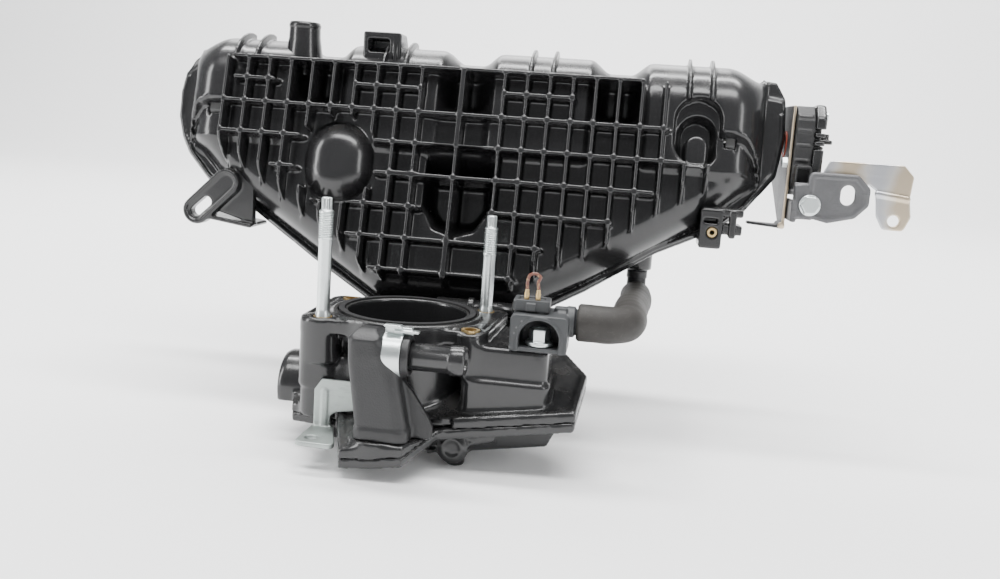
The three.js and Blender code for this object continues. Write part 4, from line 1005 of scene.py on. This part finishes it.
# ---- Breather ----
def make_breather():

    def elbow(x, y, z):
        column = both(polygon(x, z, [(-17.4, -161.4), (4, -161.4), (0, -140), (-6, -123), (-10, -112),
                                     (-13, -109.9), (-20, -109.9), (-23.2, -113), (-22.8, -124)], 2),
                      np.abs(y + 230) - 11.8, 5)
        rounded_top = np.maximum(column, np.hypot(z + 122, (y + 230) * 0.9) - 14.3)
        column = np.where(z > -122, rounded_top, column)
        foot = slab(disc(x, y, SOCKET, 10.2), z, -175.4, -160, 0.6)
        step = slab(oblong(x, y, (-20.4, -241.8), (7, -218.2), 5), z, -163.6, -159, 1)
        arm = slab(disc(y, z, NIPPLE_AXIS, 10.4), x, -18, 6, 1.2)
        fin = both(polygon(x, z, [(3, -134), (8, -139.5), (16.4, -151.7), (19, -157), (18.6, -163.4),
                                  (2, -163.4)]), np.abs(y + 230) - 2, 1.2)
        shoulder = both(polygon(x, z, [(-4, -121), (1.5, -131), (7.4, -158), (7.4, -163.4), (-6, -163.4)]),
                        np.abs(y + 230) - 9.5, 3)
        shape = joined([column, arm, shoulder, step], 3)
        shape = joined([shape, foot, fin], 2)
        return cut(shape, np.maximum(disc(y, z, NIPPLE_AXIS, 7.8), -6 - x), 0.8)

    moulded("breather_elbow_skin", elbow, (-26.5, -242.5, -176), (26, -217.5, -107), 0.55, "matte_nylon",
            "breather_elbow")
    profile = [(4.6, -3), (6.8, -3), (7.0, -2.4), (7.0, 25.2), (7.4, 25.7), (7.8, 26.4), (7.8, 32.2),
               (7.5, 33.2), (6.9, 34), (6.0, 34), (5.6, 33.5), (5.4, 25), (4.6, 24)]
    turned("nipple_tube", profile, (0, *NIPPLE_AXIS), "x", "gloss_nylon", "breather_nipple", 72)

    def clamp(x, y, z):
        band = slab(ring(y, z, NIPPLE_AXIS, 11.7, 10.8), x, -8, 2, 0.25)
        tail = slab(polygon(y, z, [(-232, -110.8), (-230.8, -110.8), (-230.8, -104.8), (-235.2, -104.8),
                                   (-235.2, -106), (-232, -106)]), x, -8, 1, 0.3)
        lug = slab(polygon(y, z, [(-229, -110.7), (-227.8, -110.7), (-227.8, -106.3), (-232, -106.3),
                                  (-232, -107.4), (-229, -107.4)]), x, -5, 6, 0.3)
        tongue = slab(slab(np.abs(z + 108.2) - 0.6, y, -233.5, -229, 0.4), x, -3, 9.6, 0.4)
        return joined([band, tail, lug, tongue], 0.4)

    moulded("nipple_clamp_band", clamp, (-10, -243, -135), (10, -217, -104), 0.36, "zinc_plate",
            "nipple_clamp")


# ---- Valve, hose and pipe ----
def hex_bolt(name, centre, axis, shank, washer, head, finish, replaced, flats):
    """A flanged hexagon bolt. shank, washer and head are (radius or flats, from, to) along the axis."""
    a, b = {"x": (1, 2), "y": (0, 2), "z": (0, 1)}[axis]
    along = {"x": 0, "y": 1, "z": 2}[axis]
    ends = shank[1:] + washer[1:] + head[1:]
    reach = max(washer[0], flats * 0.6)
    low, high = [0, 0, 0], [0, 0, 0]
    for n, c in ((a, centre[0]), (b, centre[1])):
        low[n], high[n] = c - reach - 0.4, c + reach + 0.4
    low[along], high[along] = min(ends) - 0.4, max(ends) + 0.4
    sign = 1 if head[1] >= washer[1] else -1
    outer = max(head[1:]) if sign > 0 else min(head[1:])

    def bolt(*xyz):
        p, q, r = xyz[a], xyz[b], xyz[along]
        shaft = both(disc(p, q, centre, shank[0]), between(r, *shank[1:]), 0.4)
        flange = both(disc(p, q, centre, washer[0]), between(r, *washer[1:]), 0.6)
        crown = both(hexagon(p, q, centre, flats), between(r, *head[1:]), 0.4)
        chamfer = np.hypot(p - centre[0], q - centre[1]) - flats * 0.56 - 1.6 * (outer - r) * sign
        crown = both(crown, chamfer, 0.3)
        dish = both(disc(p, q, centre, flats * 0.3), 0.7 - (r - outer + 1.4) * sign, 0.5)
        return blend(blend(shaft, flange, 0.4), cut(crown, dish, 0.4), 0.5)

    return moulded(name, bolt, low, high, 0.35, finish, replaced)


def make_valve():

    def valve(x, y, z):
        block = slab(oblong(x, z, (52.7, -117.2), (82.7, -97.7), 3), y, -213, -186, 1)
        pocket = both(slot_shape(x, z, (68, -122), (68, -110.6), 10.6), y + 197, 1.5)
        frame_ring = slab(np.abs(slot_shape(x, z, (68, -122), (68, -110.6), 11.3)) - 0.7, y,
                          -213.6, -205, 0.5)
        frame_ring = np.maximum(frame_ring, -117 - z)
        block = cut(block, pocket, 1)
        ledge = slab(slab(between(x, 52.7, 82.7), y, -212.6, -193, 0.6), z, -117.2, -114.8, 0.6)
        port = slab(disc(y, z, VALVE_PORT, 6.8), x, 76, 100, 0.6)
        collar = slab(disc(y, z, VALVE_PORT, 8.2), x, 81, 85.4, 0.8)
        nub = slab(oblong(x, y, (74, -199), (82, -193), 1.5), z, -98.5, -95, 0.8)
        shape = joined([block, ledge, frame_ring], 0.8)
        shape = joined([shape, port, collar, nub], 1)
        return cut(shape, disc(x, y, VALVE_BOLT, 3.4), 0.3)

    moulded("valve_block", valve, (52, -214, -118), (101, -185.5, -93.5), 0.5, "grey_plastic", "valve_body")

    def connector(x, y, z):
        body = slab(oblong(x, y, (53, -207), (72, -193), 1.6), z, -97.4, -91, 0.8)
        well = both(oblong(x, y, (55.5, -205), (69.5, -196), 1), -92.2 - z, 0.5)
        key = slab(between(x, 60, 65), y, -208.2, -205, 0.5)
        key = slab(key, z, -97, -92.5, 0.5)
        return blend(cut(body, well, 0.4), key, 0.5)

    moulded("valve_plug", connector, (52.5, -209, -98), (72.5, -192.5, -90.5), 0.4, "grey_plastic",
            "valve_connector")
    hex_bolt("valve_bolt_head", VALVE_BOLT, "z", (3, -119, -113), (7.5, -114.4, -112.3),
             (0, -112.4, -105.5), "zinc_plate", "valve_bolt", 10)
    for number, x in enumerate((59.5, 65.5), 1):
        profile = [(0.01, -92), (1.2, -92), (1.35, -91.2), (1.35, -88.2), (1.1, -87.4), (1.1, -86.3),
                   (0.8, -85.9), (0.01, -85.9)]
        turned(f"terminal_{number}", profile, (x, -203, 0), "z", "brass", f"valve_terminal_{number}", 24)
    wire = [(59.5, -203, -85.8), (59.4, -203, -82), (60.4, -203, -78.6), (63.4, -203, -77.6),
            (66, -203, -79.4), (65, -203, -82), (65.5, -203, -85.8)]
    swept("wire_loop", wire, lambda t: 0.85 + 0.06 * math.sin(60 * t), None, "wire_brown",
          "valve_wire", 60, 16)


def make_hoses():
    route = [(86.5, -196, -102.5), (95, -196, -102.5), (104, -194.5, -102.8), (111, -188, -103),
             (113.5, -177, -103.3), (114, -150, -104), (116, -120, -105.5), (118, -95, -106.5),
             (118, -73.5, -106.5)]

    def outer(share):
        lip = 1 - min(1, share / 0.008, (1 - share) / 0.008)
        swell = 0.14 * math.sin(share * 23) + 0.06 * math.sin(share * 71)
        return 9.85 + swell - 0.9 * lip**2

    swept("vacuum_hose_sleeve", route, outer, lambda share: 7.6, "hose_rubber", "vacuum_hose", 140, 56)
    nipple = [(118, -60, -91.4), (118, -60, -97), (118, -63, -104), (118, -70, -106.5), (118, -92, -106.5)]

    def barbed(share):
        return 6.2 + (0.6 * (1 - ((share * 9) % 1)) if share > 0.55 else 0.5 * (share < 0.12))

    swept("hose_nipple_barb", nipple, barbed, lambda share: 4.4, "matte_nylon", "hose_nipple", 90, 32)
    profile = [(3.1, -2), (3.9, -2), (4.2, -1.5), (4.2, 16.7), (5.1, 17.1), (5.4, 17.6), (5.4, 20.4),
               (5.1, 20.9), (4.2, 21.3), (4.2, 43.7), (5.1, 44.1), (5.4, 44.6), (5.4, 46.4), (5.1, 46.9),
               (4.2, 47.3), (4.2, 54.9), (3.8, 56), (3.3, 56), (3.1, 55.6)]
    turned("return_pipe_tube", profile, (0, -127.5, -113), "x", "gloss_nylon", "return_pipe", 56)


# ---- Actuator and brackets ----
def make_actuator():
    corners = ((-76, -24), (-68, -30), (-12, -19), (-12, 13), (-70, 17), (-76, 11))

    def housing(x, y, z):
        side = polygon(y, z, corners, 4)
        body = slab(side, x, 205.6, 217, 1.2)
        pilot = slab(disc(y, z, (-56, -3), 6), x, 202.6, 208, 0.6)
        plug = slab(oblong(x, z, (207, -29), (217, -15), 2), y, -86, -74, 0.8)
        ribs = both(np.abs(z + 3 - 9 * np.round((z + 3) / 9)) - 0.8, np.maximum(side - 0.9, -side - 3), 0.5)
        ribs = slab(ribs, x, 206.5, 215, 0.5)
        shape = joined([body, pilot, plug, ribs], 0.8)
        shape = cut(shape, np.maximum(side + 2.6, 208 - x), 0.8)
        shape = cut(shape, np.maximum(disc(y, z, SHAFT_AXIS, 5.2), x - 220), 0.5)
        return cut(shape, np.maximum(oblong(x, z, (208.5, -27), (215.5, -17), 1), y + 81), 0.4)

    moulded("actuator_case", housing, (202, -87, -34), (217.5, -7, 21.5), 0.6, "matte_nylon",
            "actuator_housing")

    def cover(x, y, z):
        side = polygon(y, z, ((-77, -24.5), (-69.5, -31), (-11, -20), (-11, 15), (-71, 17.8),
                              (-77, 12)), 4.4)
        body = slab(side, x, 217.3, 222, 1.4)
        rim = slab(np.abs(side + 1.5) - 1.2, x, 217.3, 223.2, 0.8)
        slots = np.inf
        for z0 in (6.2, 1.2, -3.8):
            slots = np.minimum(slots, np.abs(z - z0) - 1.2)
        slots = slab(slots, y, -90, -73.5, 0.4)
        boss = slab(disc(y, z, (-45, -4), 15), x, 220, 225, 1.5)
        web = both(np.minimum(np.abs(y + 45) - 1, np.abs(z + 4) - 1),
                   np.maximum(side + 3, between(x, 221, 224)), 0.5)
        lever = slab(oblong(x, y, (221, -66), (231, -57), 3), z, -1.5, 1.2, 0.7)
        pin = slab(disc(x, y, (226.5, -61.5), 2.4), z, 0, 5, 0.6)
        shape = joined([body, rim, boss, web], 1)
        return cut(joined([shape, lever, pin], 1), slots, 0.4)

    moulded("actuator_cap", cover, (216.8, -82.5, -36), (232, -6, 23), 0.6, "gloss_nylon", "actuator_cover")


def make_brackets():

    def plate(x, y, z):
        face = slab(polygon(y, z, [(-76, 21), (-18, 21), (-12, -25), (-62, -53), (-80, -53), (-80, -33)]),
                    x, 203.3, 205.1, 0.5)
        foot = slab(polygon(x, y, [(205.1, -79.8), (205.1, -64), (184.2, -58), (184.2, -64)]), z,
                    -54.9, -53.1, 0.5)
        bend = slab(disc(x, z, (203.2, -53), 2.0), y, -80, -64, 0.4)
        shape = joined([face, foot, bend], 0.8)
        for centre, radius in (((-56, -3), 8.6), (SHAFT_AXIS, 7), ((-75, -14), 2.4)):
            shape = cut(shape, disc(y, z, centre, radius), 0.3)
        return shape

    def front_edge(y, z):
        return y - np.interp(z, [-53, -33, 21], [-78.2, -78.2, -74.2])

    # The stainless plate's face takes the dark steel finish as painted shade, for the shadow it sits in;
    # only its front edge keeps the stainless finish.
    moulded("actuator_plate_painted_shade", lambda x, y, z: cut(plate(x, y, z), front_edge(y, z), 0.1),
            (184, -80, -55.5), (205.5, -11.5, 21.5), 0.45, "dark_steel", "actuator_plate")
    moulded("actuator_plate_edge", lambda x, y, z: both(plate(x, y, z), front_edge(y, z) + 0.05, 0.1),
            (196, -81, -55.5), (206, -73, 21.5), 0.4, "stay_steel")

    def bracket(x, y, z):
        outline = polygon(x, z, [(217.5, -42), (227, -44), (240.5, -40.5), (246, -34.5), (246, -27.5),
                                 (240.5, -22), (217.5, -22)], 4)
        face = slab(outline, y, -97, -93.2, 1)
        ear = slab(polygon(x, z, [(207.5, -28), (212, -27), (213, -44.5), (209.5, -44.5)], 1.4), y,
                   -97, -93.4, 0.6)
        back = both(between(x, 205.8, 218), slab(between(z, -47, -25), y, -95.4, -93.4), 0.6)
        rolled = slab(np.abs(outline + 2.2) - 0.9, y, -97.4, -95, 0.8)
        wing = slab(slab(between(x, 205.6, 208.8), y, -96.5, -66, 1.5), z, -49, -36.2, 0.8)
        shape = joined([face, ear, back, rolled, wing], 1)
        window = slab(slot_shape(x, z, (237.2, -32.3), (237.2, -28.7), 4.2), y, -110, -80)
        shape = cut(shape, window, 0.9)
        return cut(shape, np.maximum(disc(x, z, STAY_BOLT, 3.4), between(y, -110, -80)), 0.5)

    moulded("side_bracket_forging", bracket, (205.2, -97.6, -49.5), (250.6, -65.5, -17), 0.5, "dark_steel",
            "side_bracket")

    def strip(x, y, z):
        arm = polygon(x, z, [(211.5, -42.5), (220, -42.5), (229.5, -21.6), (251, -21.6), (257, -25.6),
                             (272, -27.6), (272.6, -18), (267.8, -13), (227.5, -13), (218.6, -32.5),
                             (211.5, -33.5)], 2.4)
        tab = polygon(x, z, [(257.4, -28), (270.6, -28), (272.9, -41), (270.6, -46.6), (262.4, -46.6),
                             (259.2, -41)], 3.2)
        shape = slab(np.minimum(arm, tab), y, -91.5, -89.1, 0.6)
        twist = slab(slot_shape(x, z, (255, -28.5), (273, -30.5), 1.3), y, -92.3, -90, 1)
        shape = blend(shape, twist, 1.2)
        shape = cut(shape, disc(x, z, (266.4, -44), 3.4), 0.4)
        return cut(shape, disc(x, z, STAY_BOLT, 3.4), 0.4)

    moulded("stay_strip_pressing", strip, (208.8, -92.5, -50.2), (277, -88.6, -10.2), 0.45,
            "stay_steel", "stay_strip")
    hex_bolt("bracket_bolt_head", STAY_BOLT, "y", (3, -99, -83.4), (6.4, -98.6, -97.3), (0, -101.5, -98.4),
             "zinc_plate", "bracket_bolt", 10)

    def lower(x, y, z):
        flat = slab(polygon(x, y, [(-48, -235.5), (-34.5, -236), (-42, -213), (-47.5, -213)], 3.6), z,
                    -172, -169.2, 0.7)
        tongue = slab(polygon(x, z, [(-50, -172), (-40.5, -172), (-40.5, -163), (-37.5, -160.8),
                                     (-22, -158.5), (-22, -143), (-46, -143), (-50, -149)]), y,
                      -212.6, -210.1, 0.7)
        bead = slab(slot_shape(x, z, (-44, -168), (-44, -150), 1.5), y, -213.3, -211, 0.8)
        shape = joined([flat, tongue, bead], 1.5)
        return cut(shape, np.maximum(disc(x, y, (-45, -231), 3.2), between(z, -180, -160)), 0.4)

    moulded("lower_stay_pressing", lower, (-52.5, -240, -172.5), (-21.5, -209.5, -142.5), 0.45,
            "dull_zinc", "lower_stay")


NODE_FINISHES = {
    "runner_shell": "matte_nylon", "clip_insert": "brass", "valve_shaft": "brushed_steel",
    "drive_coupling": "grey_plastic", "actuator_motor": "zinc_plate", "shaft_seal": "red_rubber",
    "plate_bolt": "zinc_plate", "bracket_nut": "zinc_plate", "throttle_seal": "seal_rubber",
    "valve_plunger": "brushed_steel", "port_seal": "seal_rubber", "flange_sleeve": "zinc_plate",
    "shaft_bush": "brass", "flap": "brushed_steel", "cover_screw": "zinc_plate", "stud_insert": "brass",
    "bolt_insert": "brass",
}


def dress_frame_nodes():
    """The frame's own small parts take these finishes."""
    for name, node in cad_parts.items():
        stem = name.rstrip("0123456789").rstrip("_")
        finish = NODE_FINISHES.get(name) or NODE_FINISHES.get(stem)
        if finish:
            for material_slot in node.material_slots:
                material_slot.material = MATERIALS[finish]


# ---- Stage ----
def aim(lamp, target):
    lamp.rotation_euler = (Vector(target) - lamp.location).to_track_quat("-Z", "Y").to_euler()


def make_stage(stage):
    half, far, bend, top = 6.0, 2.6, 0.8, 4.0
    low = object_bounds()[0][2]
    turns = [math.pi / 2 * step / 12 for step in range(13)]
    curve = [(far - bend + bend * math.sin(t), bend - bend * math.cos(t)) for t in turns]
    sweep = [(-half, 0.0)] + curve + [(far, top)]
    mesh = bpy.data.meshes.new("floor")
    points = [(side * half, y, low + z) for y, z in sweep for side in (-1, 1)]
    mesh.from_pydata(points, [], [(2 * n, 2 * n + 1, 2 * n + 3, 2 * n + 2) for n in range(len(sweep) - 1)])
    mesh.polygons.foreach_set("use_smooth", [True] * len(mesh.polygons))
    floor = bpy.data.objects.new("floor", mesh)
    bpy.context.scene.collection.objects.link(floor)
    paper = Finish("floor_paper", specular=0.2)
    cloud = paper.noise(3, 2)
    colour = paper.mixed(cloud * 0.3, shade(stage.floor), shade(stage.floor, 0.97))
    mesh.materials.append(paper.done(colour, 0.85))
    floor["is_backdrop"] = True
    world = bpy.data.worlds.new("studio")
    world.use_nodes = True
    world.node_tree.nodes["Background"].inputs[0].default_value = shade(stage.surround)
    world.node_tree.nodes["Background"].inputs[1].default_value = stage.surround_strength
    bpy.context.scene.world = world
    lamps = (
        ("overhead", (0.05, -0.75, 1.25), (0.0, -0.1, 0.0), (1.5, 0.35), 28.0),
        ("left_window", (-1.25, -0.75, 0.3), (-0.05, -0.1, -0.05), (0.28, 1.2), 16.0),
        ("right_window", (1.5, -1.0, 0.5), (0.1, -0.1, -0.05), (0.3, 1.1), 10.0),
        ("back_fill", (-0.3, 1.3, 1.5), (0.0, 0.0, -0.05), (1.4, 0.9), 22.0),
        ("wall_wash", (0.0, 0.4, 2.6), (0.0, 2.6, 0.3), (3.0, 0.6), 230.0),
    )
    for name, place, target, extent, power in lamps:
        light = bpy.data.lights.new(name, "AREA")
        light.shape = "RECTANGLE"
        light.size, light.size_y = extent
        light.energy = power * stage.lamp_strength
        lamp = bpy.data.objects.new(name, light)
        bpy.context.scene.collection.objects.link(lamp)
        lamp.location = place
        aim(lamp, target)
    heading, tilt, roll = stage.heading, stage.tilt, stage.roll
    ahead = Vector((-math.sin(heading) * math.cos(tilt), math.cos(heading) * math.cos(tilt),
                    -math.sin(tilt)))
    level = Vector((math.cos(heading), math.sin(heading), 0))
    above = level.cross(ahead)
    right = level * math.cos(roll) + above * math.sin(roll)
    up = above * math.cos(roll) - level * math.sin(roll)
    lens = bpy.data.cameras.new("camera")
    lens.lens, lens.sensor_width = stage.focal_length, 36.0
    camera = bpy.data.objects.new("camera", lens)
    bpy.context.scene.collection.objects.link(camera)
    turn = Matrix((right, up, -ahead)).transposed().to_4x4()
    camera.matrix_world = Matrix.Translation(stage.camera_place) @ turn
    bpy.context.scene.camera = camera


# ---- The add-on ----
def length(name, description, default):
    return bpy.props.FloatProperty(name=name, description=description, default=default, subtype="DISTANCE",
                                   unit="LENGTH", precision=4)


def tone(name, description, default):
    return bpy.props.FloatVectorProperty(name=name, description=description, default=default,
                                         subtype="COLOR", min=0.0, max=1.0)


def angle(name, description, degrees):
    return bpy.props.FloatProperty(name=name, description=description, default=math.radians(degrees),
                                   subtype="ANGLE", unit="ROTATION")


class ManifoldShape(bpy.types.PropertyGroup):
    """Sizes of the ribbed shells."""
    rib_thickness: length("Rib thickness", "Thickness of a rib at its tip", 0.0022)
    rib_tip: length("Rib tip", "Height of the rib tips over the weld plane", 0.0432)
    first_column: length("First column", "Distance of the first rib column from the middle one", 0.026)
    column_pitch: length("Column pitch", "Distance between two rib columns", 0.0141)
    detail: length("Detail", "Spacing of the lines that the shells are built on", 0.0013)


class ManifoldColours(bpy.types.PropertyGroup):
    """Colours of the finishes."""
    nylon: tone("Nylon", "Black nylon", (0.011, 0.011, 0.0115))
    worn_edge: tone("Worn edge", "Scuffed nylon on edges", (0.15, 0.15, 0.148))
    dust: tone("Dust", "Dust on faces that look up", (0.26, 0.25, 0.23))
    grey_plastic: tone("Grey plastic", "Valve plastic", (0.035, 0.037, 0.039))
    rubber: tone("Rubber", "Hose rubber", (0.026, 0.024, 0.022))
    red_rubber: tone("Red rubber", "Shaft seal", (0.32, 0.045, 0.02))
    zinc: tone("Zinc", "Zinc plating", (0.74, 0.77, 0.78))
    zinc_tint: tone("Zinc tint", "Passivation tint on zinc", (0.56, 0.66, 0.6))
    dull_zinc: tone("Dull zinc", "Weathered zinc plating", (0.33, 0.34, 0.34))
    steel: tone("Steel", "Stainless steel", (0.62, 0.6, 0.57))
    heat_straw: tone("Heat straw", "Straw heat tint", (0.52, 0.38, 0.2))
    heat_blue: tone("Heat blue", "Blue heat tint", (0.3, 0.36, 0.5))
    # Dark steel: the side bracket's own dark coat, and painted shade on the actuator plate's face.
    dark_steel: tone("Dark steel", "Phosphated steel", (0.17, 0.17, 0.175))
    brass: tone("Brass", "Brass", (0.68, 0.5, 0.24))
    brass_tint: tone("Brass tint", "Tarnish on brass", (0.42, 0.3, 0.15))
    wire: tone("Wire", "Brown enamelled wire", (0.12, 0.035, 0.02))


class ManifoldStage(bpy.types.PropertyGroup):
    """Floor, lamps and camera."""
    floor: tone("Floor", "Floor paper", (0.93, 0.93, 0.93))
    surround: tone("Surround", "Studio walls", (0.96, 0.98, 1.0))
    surround_strength: bpy.props.FloatProperty(name="Surround strength",
                                               description="Brightness of the studio walls",
                                               default=0.45, min=0.0)
    lamp_strength: bpy.props.FloatProperty(name="Lamp strength", description="Scales every lamp",
                                           default=1.0, min=0.0)
    camera_place: bpy.props.FloatVectorProperty(name="Camera place", description="Where the camera stands",
                                                default=(0.1048, -0.6884, -0.0013), subtype="XYZ",
                                                unit="LENGTH")
    heading: angle("Heading", "How far the camera is turned to the left", 7)
    tilt: angle("Tilt", "How far the camera looks down", 10)
    roll: angle("Roll", "How far the camera is rolled", 4)
    focal_length: bpy.props.FloatProperty(name="Focal length", description="Lens in millimetres",
                                          default=34.2, min=1.0)


class MANIFOLD_OT_materials(bpy.types.Operator):
    """Make the finishes and give them to the frame's own small parts"""
    bl_idname = "manifold.materials"
    bl_label = "Finishes"

    def execute(self, context):
        make_materials(context.scene.manifold_colours)
        dress_frame_nodes()
        return {"FINISHED"}


class MANIFOLD_OT_front_shell(bpy.types.Operator):
    """Build the ribbed front shell"""
    bl_idname = "manifold.front_shell"
    bl_label = "Front shell"

    def execute(self, context):
        make_front_shell(context.scene.manifold_shape)
        return {"FINISHED"}


class MANIFOLD_OT_shell_fittings(bpy.types.Operator):
    """Build the nozzle, lugs and clip block of the front shell"""
    bl_idname = "manifold.shell_fittings"
    bl_label = "Shell fittings"

    def execute(self, context):
        make_shell_fittings()
        return {"FINISHED"}


class MANIFOLD_OT_back(bpy.types.Operator):
    """Build the rear shell"""
    bl_idname = "manifold.back"
    bl_label = "Rear shell"

    def execute(self, context):
        make_back(context.scene.manifold_shape)
        return {"FINISHED"}


class MANIFOLD_OT_head_flange(bpy.types.Operator):
    """Build the flange that bolts to the cylinder head"""
    bl_idname = "manifold.head_flange"
    bl_label = "Head flange"

    def execute(self, context):
        make_head_flange()
        return {"FINISHED"}


class MANIFOLD_OT_chamber(bpy.types.Operator):
    """Build the throttle chamber and its base"""
    bl_idname = "manifold.chamber"
    bl_label = "Throttle chamber"

    def execute(self, context):
        make_chamber(context.scene.manifold_shape)
        return {"FINISHED"}


class MANIFOLD_OT_studs(bpy.types.Operator):
    """Build the threaded studs of the throttle flange"""
    bl_idname = "manifold.studs"
    bl_label = "Studs"

    def execute(self, context):
        make_studs()
        return {"FINISHED"}


class MANIFOLD_OT_breather(bpy.types.Operator):
    """Build the breather elbow, its nipple and clamp"""
    bl_idname = "manifold.breather"
    bl_label = "Breather"

    def execute(self, context):
        make_breather()
        return {"FINISHED"}


class MANIFOLD_OT_valve(bpy.types.Operator):
    """Build the vacuum valve with its plug, bolt and wire"""
    bl_idname = "manifold.valve"
    bl_label = "Vacuum valve"

    def execute(self, context):
        make_valve()
        return {"FINISHED"}


class MANIFOLD_OT_hoses(bpy.types.Operator):
    """Build the vacuum hose and the pipes"""
    bl_idname = "manifold.hoses"
    bl_label = "Hose and pipes"

    def execute(self, context):
        make_hoses()
        return {"FINISHED"}


class MANIFOLD_OT_actuator(bpy.types.Operator):
    """Build the actuator case and cap"""
    bl_idname = "manifold.actuator"
    bl_label = "Actuator"

    def execute(self, context):
        make_actuator()
        return {"FINISHED"}


class MANIFOLD_OT_brackets(bpy.types.Operator):
    """Build the plates, brackets and stays"""
    bl_idname = "manifold.brackets"
    bl_label = "Brackets"

    def execute(self, context):
        make_brackets()
        return {"FINISHED"}


class MANIFOLD_OT_stage(bpy.types.Operator):
    """Set the floor, the lamps and the camera"""
    bl_idname = "manifold.stage"
    bl_label = "Stage"

    def execute(self, context):
        make_stage(context.scene.manifold_stage)
        return {"FINISHED"}


STEPS = (MANIFOLD_OT_stage, MANIFOLD_OT_materials, MANIFOLD_OT_front_shell, MANIFOLD_OT_shell_fittings,
         MANIFOLD_OT_back, MANIFOLD_OT_head_flange, MANIFOLD_OT_chamber, MANIFOLD_OT_studs,
         MANIFOLD_OT_breather, MANIFOLD_OT_valve, MANIFOLD_OT_hoses, MANIFOLD_OT_actuator,
         MANIFOLD_OT_brackets)


class MANIFOLD_PT_build(bpy.types.Panel):
    """Sizes, colours and building steps of the manifold"""
    bl_label = "Intake Manifold"
    bl_idname = "MANIFOLD_PT_build"
    bl_space_type = "VIEW_3D"
    bl_region_type = "UI"
    bl_category = "Manifold"

    def draw(self, context):
        for group in (context.scene.manifold_shape, context.scene.manifold_colours,
                      context.scene.manifold_stage):
            box = self.layout.box()
            for key in group.__annotations__:
                box.prop(group, key)
        for step in STEPS:
            self.layout.operator(step.bl_idname)


CLASSES = (ManifoldShape, ManifoldColours, ManifoldStage) + STEPS + (MANIFOLD_PT_build,)


def register():
    for made in CLASSES:
        bpy.utils.register_class(made)
    bpy.types.Scene.manifold_shape = bpy.props.PointerProperty(type=ManifoldShape)
    bpy.types.Scene.manifold_colours = bpy.props.PointerProperty(type=ManifoldColours)
    bpy.types.Scene.manifold_stage = bpy.props.PointerProperty(type=ManifoldStage)


def unregister():
    del bpy.types.Scene.manifold_shape
    del bpy.types.Scene.manifold_colours
    del bpy.types.Scene.manifold_stage
    for made in reversed(CLASSES):
        bpy.utils.unregister_class(made)


def main():
    register()
    for step in STEPS:
        group, name = step.bl_idname.split(".")
        getattr(getattr(bpy.ops, group), name)()


if __name__ == "__main__":
    main()
